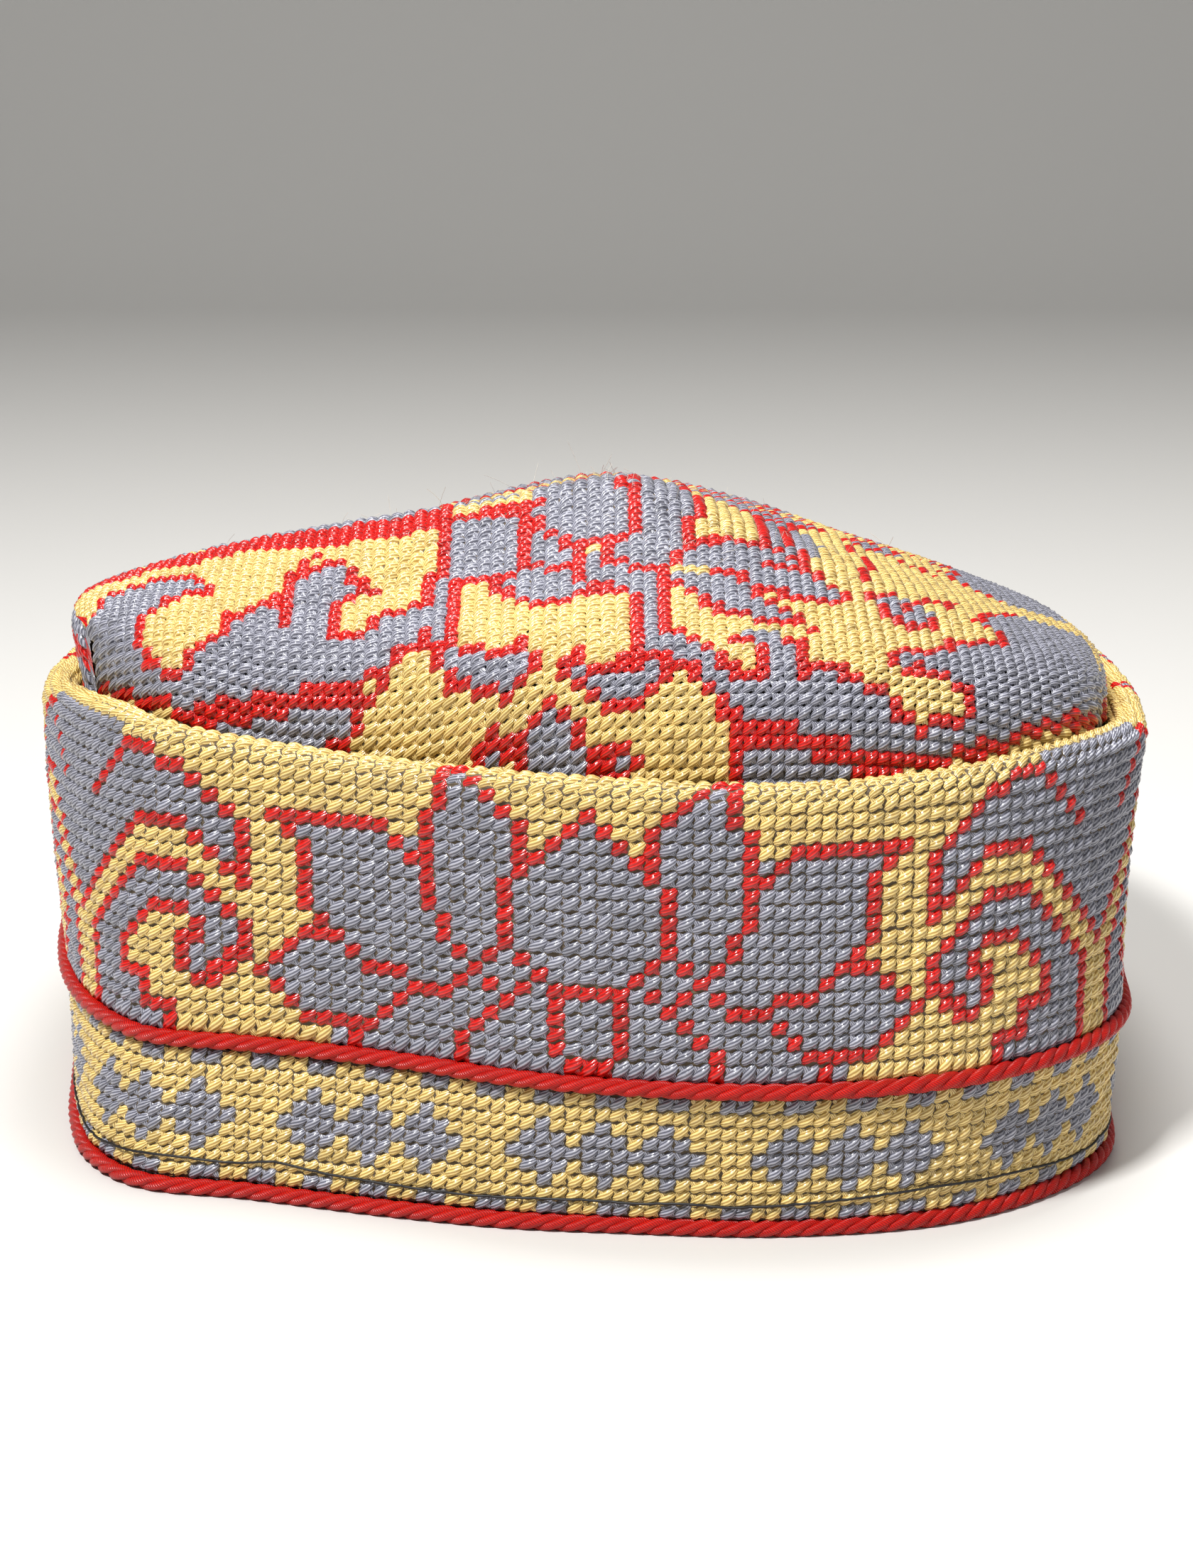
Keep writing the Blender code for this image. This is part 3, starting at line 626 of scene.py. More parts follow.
def tube(route, radius, sides, closed=True):
    """A thread along a route in mm: points, faces and its map along and round the thread."""
    count = len(route)
    ahead = np.roll(route, -1, 0) - np.roll(route, 1, 0)
    if not closed:
        ahead = np.gradient(route, axis=0)
    ahead /= np.linalg.norm(ahead, axis=-1, keepdims=True)
    side = np.cross(ahead, (0.0, 0.0, 1.0))
    side /= np.maximum(np.linalg.norm(side, axis=-1, keepdims=True), 1e-6)
    over = np.cross(side, ahead)
    turn = np.linspace(0, 2 * pi, sides, endpoint=False)
    ring = (side[:, None] * np.cos(turn)[None, :, None]
            + over[:, None] * np.sin(turn)[None, :, None]) * radius
    points = (route[:, None] + ring).reshape(-1, 3)
    last = count if closed else count - 1
    i, j = np.meshgrid(np.arange(last), np.arange(sides), indexing="ij")
    after, beside = (i + 1) % count, (j + 1) % sides
    faces = np.stack((i * sides + j, i * sides + beside, after * sides + beside,
                      after * sides + j), -1).reshape(-1, 4)
    run = np.linalg.norm(np.diff(route, axis=0), axis=-1).mean()
    along = np.stack((i, i, i + 1, i + 1), -1) * run
    around = np.stack((j, j + 1, j + 1, j), -1) / sides
    return points, faces, np.stack((along, around), -1).reshape(-1, 2)


def joined(parts):
    """Points, faces and thread maps of several meshes as one."""
    base, points, faces, maps = 0, [], [], []
    for these_points, these_faces, this_map in parts:
        points.append(these_points)
        faces.append(these_faces + base)
        maps.append(this_map)
        base += len(these_points)
    return np.concatenate(points), np.concatenate(faces), np.concatenate(maps)


# Materials

def add_node(tree, kind, settings=None, links=None):
    """Add a node, set its properties and sockets, and link other sockets into it."""
    node = tree.nodes.new(kind)
    for name, value in (settings or {}).items():
        if isinstance(name, str) and name[0].islower():
            setattr(node, name, value)
        else:
            node.inputs[name].default_value = value
    for name, socket in (links or {}).items():
        tree.links.new(socket, node.inputs[name])
    return node


def new_material(name, roughness, ior=1.5):
    """A material with its shader, and its node tree."""
    material = bpy.data.materials.new(name)
    material.use_nodes = True
    tree = material.node_tree
    shader = tree.nodes["Principled BSDF"]
    shader.inputs["Roughness"].default_value = roughness
    shader.inputs["IOR"].default_value = ior
    return material, tree, shader


def rayon_floss(name, colour, deep, strands=4.0, gloss=0.26):
    """Rayon embroidery floss, loosely twisted: shiny strands side by side in each leg,
    with a painted highlight on the strands' backs and painted shade between them, each stitch a
    little different."""
    material, tree, shader = new_material(name, gloss, 1.53)
    tone = add_node(tree, "ShaderNodeAttribute", {"attribute_name": "tone"})
    thread = add_node(tree, "ShaderNodeUVMap", {"uv_map": "thread"})
    parts = add_node(tree, "ShaderNodeSeparateXYZ", links={"Vector": thread.outputs["UV"]})
    # the strands turn once in about two legs
    slant = add_node(tree, "ShaderNodeMath", {"operation": "MULTIPLY_ADD", 1: 0.45},
                     {0: parts.outputs["X"], 2: parts.outputs["Y"]})
    shift = add_node(tree, "ShaderNodeMath", {"operation": "MULTIPLY_ADD", 1: 0.13},
                     {0: tone.outputs["Fac"], 2: slant.outputs[0]})
    wave = add_node(tree, "ShaderNodeMath", {"operation": "MULTIPLY", 1: strands * 2 * pi},
                    {0: shift.outputs[0]})
    ridge = add_node(tree, "ShaderNodeMath", {"operation": "SINE"}, {0: wave.outputs[0]})
    half = add_node(tree, "ShaderNodeMath", {"operation": "MULTIPLY_ADD", 1: 0.5, 2: 0.5},
                    {0: ridge.outputs[0]})
    # painted highlight and shade: the light colour on the strands' backs, the deep colour as shade
    # in the grooves between them
    mixed = add_node(tree, "ShaderNodeMix", {"data_type": "RGBA"}, {"Factor": half.outputs[0]})
    mixed.inputs["A"].default_value = (*linear(deep), 1)
    mixed.inputs["B"].default_value = (*linear(colour), 1)
    bright = add_node(tree, "ShaderNodeMath", {"operation": "MULTIPLY_ADD", 1: 0.09, 2: 1.0},
                      {0: tone.outputs["Fac"]})
    shaded = add_node(tree, "ShaderNodeHueSaturation", {}, {"Color": mixed.outputs["Result"],
                                                           "Value": bright.outputs[0]})
    tree.links.new(shaded.outputs["Color"], shader.inputs["Base Color"])
    bump = add_node(tree, "ShaderNodeBump", {"Strength": 0.55, "Distance": 0.00012},
                    {"Height": half.outputs[0]})
    tree.links.new(bump.outputs["Normal"], shader.inputs["Normal"])
    # the filaments' glint
    shader.inputs["Specular IOR Level"].default_value = 0.4
    shader.inputs["Coat Weight"].default_value = 0.35
    shader.inputs["Coat Roughness"].default_value = 0.1
    return material


def cotton_ground(name, colour, pale):
    """Plain woven cotton, padded, seen only between the stitches, where its dark colour is painted
    shade for the gaps between them: a dull face with a thread every 0.5 mm."""
    material, tree, shader = new_material(name, 0.85)
    where = add_node(tree, "ShaderNodeTexCoord")
    speck = add_node(tree, "ShaderNodeTexNoise", {"Scale": 1 / 0.0015, "Detail": 3.0},
                     {"Vector": where.outputs["Object"]})
    mixed = add_node(tree, "ShaderNodeMix", {"data_type": "RGBA"},
                     {"Factor": speck.outputs["Fac"]})
    mixed.inputs["A"].default_value = (*linear(colour), 1)
    mixed.inputs["B"].default_value = (*linear(pale), 1)
    tree.links.new(mixed.outputs["Result"], shader.inputs["Base Color"])
    weave = add_node(tree, "ShaderNodeTexWave", {"Scale": 2 * pi / 20 / 0.0005, "wave_type": "BANDS",
                                                 "bands_direction": "Z"},
                     {"Vector": where.outputs["Object"]})
    bump = add_node(tree, "ShaderNodeBump", {"Strength": 0.4, "Distance": 0.0002},
                    {"Height": weave.outputs["Fac"]})
    tree.links.new(bump.outputs["Normal"], shader.inputs["Normal"])
    return material


def rayon_cord(name, colour, deep):
    """Red rayon cord laid from yarns of many filaments: fine slanting filaments along
    each yarn, with a painted highlight on their crests and painted shade between them, and the
    valleys between the yarns stay deep red."""
    material, tree, shader = new_material(name, 0.36, 1.53)
    thread = add_node(tree, "ShaderNodeUVMap", {"uv_map": "thread"})
    parts = add_node(tree, "ShaderNodeSeparateXYZ", links={"Vector": thread.outputs["UV"]})
    # eight filaments show round a yarn, and each goes round it once in 2.5 mm
    round_yarn = add_node(tree, "ShaderNodeMath", {"operation": "MULTIPLY", 1: 8.0},
                          {0: parts.outputs["Y"]})
    slant = add_node(tree, "ShaderNodeMath", {"operation": "MULTIPLY_ADD", 1: 8.0 / 2.5},
                     {0: parts.outputs["X"], 2: round_yarn.outputs[0]})
    wave = add_node(tree, "ShaderNodeMath", {"operation": "MULTIPLY", 1: 2 * pi},
                    {0: slant.outputs[0]})
    ridge = add_node(tree, "ShaderNodeMath", {"operation": "SINE"}, {0: wave.outputs[0]})
    half = add_node(tree, "ShaderNodeMath", {"operation": "MULTIPLY_ADD", 1: 0.5, 2: 0.5},
                    {0: ridge.outputs[0]})
    where = add_node(tree, "ShaderNodeTexCoord")
    uneven = add_node(tree, "ShaderNodeTexNoise", {"Scale": 1 / 0.002, "Detail": 3.0},
                      {"Vector": where.outputs["Object"]})
    shade = add_node(tree, "ShaderNodeMath", {"operation": "MULTIPLY"},
                     {0: half.outputs[0], 1: uneven.outputs["Fac"]})
    # painted highlight and shade: the light colour on the filaments' crests, the deep colour as
    # shade between them and as a random darker tone where the noise is low
    mixed = add_node(tree, "ShaderNodeMix", {"data_type": "RGBA"}, {"Factor": shade.outputs[0]})
    mixed.inputs["A"].default_value = (*linear(deep), 1)
    mixed.inputs["B"].default_value = (*linear(colour), 1)
    tree.links.new(mixed.outputs["Result"], shader.inputs["Base Color"])
    bump = add_node(tree, "ShaderNodeBump", {"Strength": 0.7, "Distance": 0.00015},
                    {"Height": half.outputs[0]})
    tree.links.new(bump.outputs["Normal"], shader.inputs["Normal"])
    shader.inputs["Specular IOR Level"].default_value = 0.3
    return material


def plain_thread(name, colour, roughness):
    """Spun thread or loose fibre, too thin to show more than its colour and dull gloss."""
    material, tree, shader = new_material(name, roughness)
    where = add_node(tree, "ShaderNodeTexCoord")
    fibre = add_node(tree, "ShaderNodeTexNoise", {"Scale": 1 / 0.0008},
                     {"Vector": where.outputs["Object"]})
    mixed = add_node(tree, "ShaderNodeMix", {"data_type": "RGBA"},
                     {"Factor": fibre.outputs["Fac"]})
    dark = [0.7 * value for value in linear(colour)]
    mixed.inputs["A"].default_value = (*dark, 1)
    mixed.inputs["B"].default_value = (*linear(colour), 1)
    tree.links.new(mixed.outputs["Result"], shader.inputs["Base Color"])
    return material


def paper_floor(name, colour):
    """Matt paper sweep of the studio."""
    material, tree, shader = new_material(name, 0.9)
    shader.inputs["Base Color"].default_value = (*linear(colour), 1)
    return material


def material_named(name, maker, *details):
    """A material by name, made when it is first asked for."""
    return bpy.data.materials.get(name) or maker(name, *details)


def floss(thread):
    """The floss of a chart's thread."""
    colours = bpy.context.scene.tubeteika_colours
    gold, grey, red = colours.gold, colours.grey, colours.red
    if thread == GROUND:
        return material_named("gold_rayon_floss", rayon_floss, gold, colours.gold_painted_shade)
    if thread == GREY:
        return material_named("grey_rayon_floss", rayon_floss, grey, colours.grey_painted_shade)
    return material_named("red_rayon_floss", rayon_floss, red, colours.red_painted_shade)


THREAD_NAMES = {GROUND: "gold", GREY: "grey", RED: "red"}


def seat(item, slot):
    """The piece belongs to the cap: it hangs under the root body. The slot is not used."""
    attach(item, "root")
    return item


def embroider(region, slot, corners, normals, threads, seed, groups=None):
    """One piece for each thread colour, and for each group of cells where there are any."""
    made = []
    if groups is None:
        groups = np.zeros(len(threads), int)
    for group in np.unique(groups):
        for thread in (GROUND, GREY, RED):
            chosen = (threads == thread) & (groups == group)
            if not chosen.any():
                continue
            name = f"{region}_{THREAD_NAMES[thread]}_stitches"
            if groups.max() > 0:
                name += f"_{group + 1}"
            item = stitches(name, corners[chosen], normals[chosen], floss(thread),
                            seed + 10 * int(group) + thread)
            made.append(seat(item, slot))
    return made


# Properties

class TubeteikaColours(bpy.types.PropertyGroup):
    """Colours of the threads and the stage, as sRGB hex values."""
    gold: bpy.props.StringProperty(
        name="Gold floss", description="Ground of the embroidery", default="#E8CF88")
    # the deep colours of the floss are painted shade between the strands
    gold_painted_shade: bpy.props.StringProperty(
        name="Gold between strands", description="Shade between the strands", default="#A27F3C")
    grey: bpy.props.StringProperty(
        name="Grey floss", description="Fields of the pattern", default="#A0A0AA")
    grey_painted_shade: bpy.props.StringProperty(
        name="Grey between strands", description="Shade between the strands", default="#4A4A56")
    red: bpy.props.StringProperty(
        name="Red floss", description="Outlines of the pattern", default="#D0160E")
    red_painted_shade: bpy.props.StringProperty(
        name="Red between strands", description="Shade between the strands", default="#8C0806")
    # the cord's light colour is painted highlight on the filaments, its deep colour painted shade
    # between them and a random darker tone
    cord: bpy.props.StringProperty(
        name="Cord", description="Yarns of the two cords", default="#E61C0E")
    cord_deep: bpy.props.StringProperty(
        name="Cord in the shade", description="Shade in the yarns", default="#900A06")
    # the ground cloth's dark colour is painted shade in the gaps between the stitches
    ground: bpy.props.StringProperty(
        name="Ground cloth", description="Cloth under the stitches", default="#3E342A")
    floor: bpy.props.StringProperty(
        name="Floor", description="Paper under the cap", default="#C8C6C2")


class TubeteikaSizes(bpy.types.PropertyGroup):
    """Sizes of the fine parts, in metres."""
    cord_lay: bpy.props.FloatProperty(
        name="Cord lay", description="Length of one turn of the cord's yarns",
        default=0.0085, min=0.002, max=0.02, subtype="DISTANCE", unit="LENGTH")
    seam_thread: bpy.props.FloatProperty(
        name="Seam thread", description="Thickness of the black seam thread",
        default=0.00034, min=0.0001, max=0.001, subtype="DISTANCE", unit="LENGTH")
    hairs: bpy.props.IntProperty(
        name="Fuzz", description="Number of loose fibres", default=170, min=0, max=2000)


# Operators

class TUBETEIKA_OT_cloths(bpy.types.Operator):
    """Ground cloths of crown, wall and band, under the stitches"""
    bl_idname = "tubeteika.cloths"
    bl_label = "Ground cloths"

    def execute(self, context):
        colours = context.scene.tubeteika_colours
        # the ground cloth is painted dark as the shade between the stitches, speckled at random with
        # a paler colour
        cotton = material_named("cotton_ground_painted_shade", cotton_ground, colours.ground, "#62543F")
        round_cap = np.linspace(0, GIRTH, 336, endpoint=False)[:, None]
        climbs = np.concatenate((np.linspace(0, 0.92, 12), np.linspace(0.95, 1.0, 14)))
        spring = at("rim", round_cap) - ROLL_RADIUS - WALL_LOW
        whole = spring + pi * ROLL_RADIUS + FLAP
        part = np.concatenate((np.linspace(0, 1, 14) * spring,
                               spring + np.linspace(0.08, 1, 10) * pi * ROLL_RADIUS,
                               whole + 0 * climbs[:1]), axis=1)
        outer = wall_point(round_cap, part, STITCH_SEAT)
        inner = wall_point(round_cap, part, CLOTH)
        wall = seat(shell("wall_cloth", outer, inner, cotton), "wall")
        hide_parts("wall")
        climb = np.linspace(0, BAND_HIGH - BAND_LOW, 10)[None]
        band = shell("band_ribbon", band_point(round_cap, climb, STITCH_SEAT),
                     band_point(round_cap, climb, RIBBON), cotton)
        seat(band, "lower_band")
        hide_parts("lower_band")
        self.crown(cotton)
        return {"FINISHED"}

    def crown(self, cotton):
        """The crown's cloth: rings from the hidden edge up the side and in to the peak."""
        section = np.linspace(0, GIRTH, 300, endpoint=False)
        drop = at("rise", section) + TUCK
        shoulder = place(section, wall_out(section, 1.0) - at("inset", section), 0.0)
        reach = np.hypot(shoulder[:, 0] - PEAK[0], shoulder[:, 1] - PEAK[1])
        # distances in from the shoulder, in rows: every half row near it, then wider
        steps = np.concatenate((np.linspace(-12, -6.5, 5), np.arange(-6, 6.1, 0.5),
                                np.linspace(7, 40, 22)))
        # the cloth lies a little deeper where the stitches bridge the shoulder
        deeper = np.clip(1.2 - np.abs(steps) / 5, 0, 1)
        start = 6 * CROWN_PITCH / reach
        sheets = []
        for depths in (STITCH_SEAT + 0.1 + 0.9 * deeper, CLOTH + 0.3 * deeper):
            rings = []
            for step, depth in zip(steps, depths):
                if step < 0:
                    down = drop * (1 - (1 + step / 12) ** (12 * CROWN_PITCH / drop))
                    rings.append(steep_point(section, down, depth))
                    continue
                way = step * CROWN_PITCH / reach
                if step > 6:
                    way = start + (0.985 - start) * (step - 6) / 34
                x = shoulder[:, 0] + (PEAK[0] - shoulder[:, 0]) * way
                y = shoulder[:, 1] + (PEAK[1] - shoulder[:, 1]) * way
                rings.append(np.stack((x, y, crown_height(x, y)[0] - depth), -1))
            sheet = np.stack(rings, 1)
            rounded = sheet
            for _ in range(4):
                rounded = ease(rounded, np.broadcast_to(steps[None], sheet.shape[:2]), 1)
            sheets.append(rounded)
        outer, inner = (sheet[:, np.r_[0:5, 6:28:2, 29:52]] for sheet in sheets)
        across, up = outer.shape[:2]
        count = across * up
        tip = crown_height(PEAK[0] + 0.001, PEAK[1])[0]
        tips = np.array(((PEAK[0], PEAK[1], tip - STITCH_SEAT), (PEAK[0], PEAK[1], tip - CLOTH)))
        points = np.concatenate((outer.reshape(-1, 3), inner.reshape(-1, 3), tips))
        quads = grid_faces(across, up, True)
        i = np.arange(across)
        a, b = i * up, (i + 1) % across * up
        edge = np.stack((a, a + count, b + count, b), -1)
        faces = [tuple(face) for face in np.concatenate((quads, quads[:, ::-1] + count, edge))]
        for k in range(across):
            here, after = k * up + up - 1, (k + 1) % across * up + up - 1
            faces.append((here, after, 2 * count))
            faces.append((after + count, here + count, 2 * count + 1))
        data = bpy.data.meshes.new("crown_cloth")
        data.from_pydata((points * MM).tolist(), [], faces)
        data.shade_smooth()
        data.materials.append(cotton)
        crown = bpy.data.objects.new("crown_cloth", data)
        bpy.context.scene.collection.objects.link(crown)
        seat(crown, "crown")
        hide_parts("crown")


class TUBETEIKA_OT_wall(bpy.types.Operator):
    """Cross stitch of the side wall, up and over its fold"""
    bl_idname = "tubeteika.wall"
    bl_label = "Wall embroidery"

    def execute(self, context):
        columns = np.arange(-37, 4 * SIDE_STITCHES - 37)
        marks = list(WALL_MARKS)
        for side in (1, 2, 3):
            rest = GIRTH + WALL_MARKS[0][1] - WALL_MARKS[-1][1]
            marks.append((37 + side * SIDE_STITCHES, WALL_MARKS[-1][1] + rest * side / 3))
        distance = np.interp(columns - 0.5, *zip(*marks), left=WALL_MARKS[0][1] - 0.9)[:, None]
        height = at("rim", distance) - WALL_LOW
        row = np.minimum(WALL_ROW, (WALL_ROW + height / 20.05) / 2)
        climb = np.arange(WALL_ROWS + 1)[None] * row
        # the first row reaches under the cord
        climb[:, 0] -= 0.6
        lattice = wall_point(distance, climb, STITCH_SEAT)
        normals = normals_of(lattice, True)
        corners, facing = cells_of(lattice, normals, True)
        chart_c = np.repeat(np.mod(columns + 37, SIDE_STITCHES) - 37.0, WALL_ROWS)
        chart_r = np.tile(np.arange(WALL_ROWS, dtype=float), len(columns))
        threads = wall_chart(chart_c, chart_r)
        group = np.clip((columns + 37) // SIDE_STITCHES, 0, 3)
        groups = np.repeat(group, WALL_ROWS)
        embroider("wall", "wall", corners.reshape(-1, 4, 3), facing.reshape(-1, 3), threads,
                  100, groups)
        return {"FINISHED"}


class TUBETEIKA_OT_band(bpy.types.Operator):
    """Cross stitch of the ribbon band"""
    bl_idname = "tubeteika.band"
    bl_label = "Band embroidery"

    def execute(self, context):
        columns = np.arange(BAND_STITCHES)
        distance = ((columns - 0.5) * GIRTH / BAND_STITCHES + BAND_MIDDLE)[:, None]
        row = (BAND_HIGH - BAND_LOW) / BAND_ROWS
        climb = np.arange(BAND_ROWS + 1)[None] * row
        lattice = band_point(distance, climb, STITCH_SEAT)
        corners, facing = cells_of(lattice, normals_of(lattice, True), True)
        chart_c = np.repeat(columns, BAND_ROWS)
        chart_r = np.tile(BAND_ROWS - 1 - np.arange(BAND_ROWS), BAND_STITCHES)
        threads = band_chart(chart_c, chart_r)
        embroider("band", "lower_band", corners.reshape(-1, 4, 3), facing.reshape(-1, 3),
                  threads, 200)
        return {"FINISHED"}


def ease(points, rows, axis):
    """Round a lattice over a fold; the distance from the fold is counted in rows."""
    share = np.clip(1.2 - np.abs(rows) / 5, 0, 1)[..., None]
    for _ in range(12):
        beside = np.roll(points, 1, axis) + np.roll(points, -1, axis)
        points = points + share * (beside / 4 - points / 2)
    return points


def side_share(section, corners):
    """How far a section belongs to the side between two corners: 0 at them, 1 inside."""
    start, end = (CROWN_CORNERS[corner] for corner in corners)
    into = (section - start) % GIRTH
    return np.clip(min(into, (end - start) % GIRTH - into) / 4, 0, 1)


class CrownGrid:
    """The lattice of the crown's stitches: columns c across, rows b down to the front.

    Over the top it is one straight grid. Its columns run on down the front and the back,
    its rows down the two sides, and they meet at the four corners.
    """

    def __init__(self):
        self.c = np.arange(-60, 61) - 0.5
        self.b = np.arange(-90, 50) - 0.5
        self.read_columns()
        self.read_rows()
        x = np.broadcast_to(self.x[:, None], self.y.shape)
        self.top = np.stack((x, self.y, crown_height(x, self.y)[0] - STITCH_SEAT), -1)

    def spine(self, x):
        """The line across the crown through its peak, where the rows start."""
        return PEAK[1] + SPINE_BEND * (x - PEAK[0]) ** 2

    def read_columns(self):
        """Where each column lies, and where it leaves the top at the front and the back."""
        x = np.linspace(-82, 82, 3281)
        height, share, _ = crown_height(x, self.spine(x))
        x, height = x[share <= 1.0], height[share <= 1.0]
        steps = np.hypot(np.diff(x), np.hypot(np.diff(height), np.diff(self.spine(x))))
        places = np.append(0, np.cumsum(steps))
        places = (places - np.interp(CROWN_MIDDLE - BOX_MIDDLE[0], x, places)) / CROWN_PITCH
        self.x = np.interp(self.c, places, x)
        self.tips, self.tips_x = places[[0, -1]], x[[0, -1]]
        count = len(self.c)
        self.y = np.zeros((count, len(self.b)))
        self.front, self.back = np.full(count, 99.0), np.full(count, -99.0)
        self.front_share, self.back_share = np.zeros(count), np.zeros(count)
        self.used = (self.c > places[0]) & (self.c < places[-1])
        for k in np.flatnonzero(self.used):
            y, b = self.trace(self.x[k])
            self.y[k] = np.interp(self.b, b[::-1], y[::-1])
            self.front[k], self.back[k] = b[0], b[-1]
            sections = crown_height(np.full(2, self.x[k]), y[[0, -1]])[2]
            self.front_share[k] = side_share(sections[0], (3, 0))
            self.back_share[k] = side_share(sections[1], (1, 2))

    def trace(self, x):
        """One column from the front shoulder to the back one: its places and its rows."""
        halves = []
        for sign in (1, -1):
            y = self.spine(x) - sign * np.arange(0, 150, 0.1)
            height, share, _ = crown_height(np.full_like(y, x), y)
            stop = max(int(np.argmax(share > 1.0)), 2)
            steps = np.hypot(np.diff(y[:stop]), np.diff(height[:stop]))
            rows = sign * np.append(0, np.cumsum(steps)) / CROWN_PITCH
            halves.append((y[:stop], rows))
        return [np.concatenate((ahead[::-1], behind[1:])) for ahead, behind in zip(*halves)]

    def read_rows(self):
        """Where each row leaves the top at the left and the right."""
        count = len(self.b)
        self.left, self.right = np.full(count, -99.0), np.full(count, 99.0)
        self.left_y, self.right_y = np.zeros(count), np.zeros(count)
        self.rows_used = np.zeros(count, bool)
        # the ends of the spine close the columns' fronts and backs
        tips = self.spine(self.tips_x)
        c = np.concatenate((self.tips[:1], self.c[self.used], self.tips[1:]))
        fine = np.linspace(c[0], c[-1], 1500)
        x = np.interp(fine, c, np.concatenate((self.tips_x[:1], self.x[self.used],
                                               self.tips_x[1:])))
        front, back = (np.interp(fine, c, np.concatenate(((0,), end[self.used], (0,))))
                       for end in (self.front, self.back))
        for j, b in enumerate(self.b):
            inner = np.flatnonzero((b < front) & (b > back))
            if len(inner) < 20:
                continue
            self.rows_used[j] = True
            ends = inner[[0, -1]]
            y = np.interp(fine[ends], c, np.concatenate((tips[:1], self.y[self.used, j],
                                                         tips[1:])))
            self.left_y[j], self.right_y[j] = y
            # an end that lies on the front or the back belongs to their columns
            section = crown_height(x[ends], y)[2]
            if CROWN_CORNERS[2] < section[0] < CROWN_CORNERS[3]:
                self.left[j] = fine[ends[0]]
            if CROWN_CORNERS[0] < section[1] < CROWN_CORNERS[1]:
                self.right[j] = fine[ends[1]]

    def straight_down(self, beyond, lines, corners, axis):
        """Sections that lines pass on their way straight down a side, at one x or one y."""
        start, end = (CROWN_CORNERS[corner] for corner in corners)
        sections = start + np.linspace(0, (end - start) % GIRTH, 400)
        depths = np.arange(0, 24, 0.5)
        across = steep_point(sections[:, None], depths[None], STITCH_SEAT)[..., axis]
        if across[0, 0] > across[-1, 0]:
            sections, across = sections[::-1], across[::-1]
        held = []
        for line, rows in zip(lines, beyond):
            passed = [np.interp(line, across[:, n], sections) for n in range(len(depths))]
            held.append(np.interp(rows * CROWN_PITCH, depths, passed))
        return np.array(held)

    def skirt(self, beyond, lines, corners, axis):
        """The lattice carried on down one side: its points, how far they are eased, and
        which of its cells belong there."""
        if axis == 1:
            held = self.straight_down(beyond, lines, corners, 0)
        else:
            held = self.straight_down(beyond.T, lines, corners, 1).T
        down = steep_point(held, np.maximum(beyond, 0) * CROWN_PITCH, STITCH_SEAT)
        points = np.where((beyond > 0)[..., None], down, self.top)
        moved = ease(points, beyond, axis) - points
        apart = np.abs(np.diff(held, axis=1 - axis))
        apart = np.minimum(np.take(apart, range(1, apart.shape[axis]), axis),
                           np.take(apart, range(apart.shape[axis] - 1), axis))
        depth = self.middle(beyond) * CROWN_PITCH
        hem = self.middle(at("rise", held)) + HIDDEN_BELOW
        return points, moved, (depth > 0) & (depth < hem) & (apart > 0.05)

    def middle(self, grid):
        """Values at the middles of the cells."""
        return (grid[:-1, :-1] + grid[1:, :-1] + grid[1:, 1:] + grid[:-1, 1:]) / 4

    def regions(self):
        """Name, lattice, cells kept and chart places of the top and of each side."""
        c, b = self.c[:, None], self.b[None]
        ahead, behind = b - self.front[:, None], self.back[:, None] - b
        left, right = self.left[None] - c, c - self.right[None]
        mid_c, mid_b = self.middle(c + 0 * b), self.middle(b + 0 * c)
        rows = (self.rows_used[1:] & self.rows_used[:-1])[None]
        right_front, right_back, left_back, left_front = range(4)
        sides = (("crown_front", ahead, self.x, (left_front, right_front), 1),
                 ("crown_back", behind, self.x, (right_back, left_back), 1),
                 ("crown_right", right, self.right_y, (right_front, right_back), 0),
                 ("crown_left", left, self.left_y, (left_back, left_front), 0))
        skirts = [self.skirt(*side[1:]) for side in sides]
        shares = (self.front_share[:, None], self.back_share[:, None], 1, 1)
        over = self.top + 0
        for side, share, (points, moved, kept) in zip(sides, shares, skirts):
            over += np.where((side[1] <= 0)[..., None], moved, 0) * np.atleast_3d(share)
        top, free = over, np.ones(mid_c.shape, bool)
        laid = np.broadcast_to(self.used[:, None], ahead.shape)
        for (name, beyond, _, _, axis), (points, moved, kept) in zip(sides, skirts):
            past = beyond > 0
            carried = np.where(past[..., None], points + moved, over)
            # the first nodes past the shoulder also close the top
            beside = past & (beyond < 1.5)
            top = np.where(beside[..., None], carried, top)
            laid = laid | beside
            depth = self.middle(beyond)
            if axis == 1:
                yield name, carried, kept, mid_c, mid_b
            else:
                kept = kept & rows
                yield name, carried, kept, -np.abs(mid_b - SIDE_MIDDLE), SKIRT_ROW + depth
            free &= ~kept & (depth < 0.7)
        yield "crown", top, free & (self.middle(laid.astype(float)) == 1), mid_c, mid_b


class TUBETEIKA_OT_crown(bpy.types.Operator):
    """Cross stitch of the crown, over its top and down its steep side"""
    bl_idname = "tubeteika.crown"
    bl_label = "Crown embroidery"

    def execute(self, context):
        for number, (region, points, kept, c, b) in enumerate(CrownGrid().regions()):
            # rows count to the front, so the lattice is turned over to face out
            normals = -normals_of(points, False)
            corners, facing = cells_of(points, normals, False)
            corners, facing, c, b = corners[kept], facing[kept], c[kept], b[kept]
            facing /= np.maximum(np.linalg.norm(facing, axis=-1, keepdims=True), 1e-9)
            # a cell's corners go round from its front left one
            corners = corners[:, (3, 2, 1, 0)]
            groups = (b < CROWN_CENTRE).astype(int) if region == "crown" else None
            embroider(region, "crown", corners, facing, crown_chart(c, b),
                      300 + 100 * number, groups)
        return {"FINISHED"}


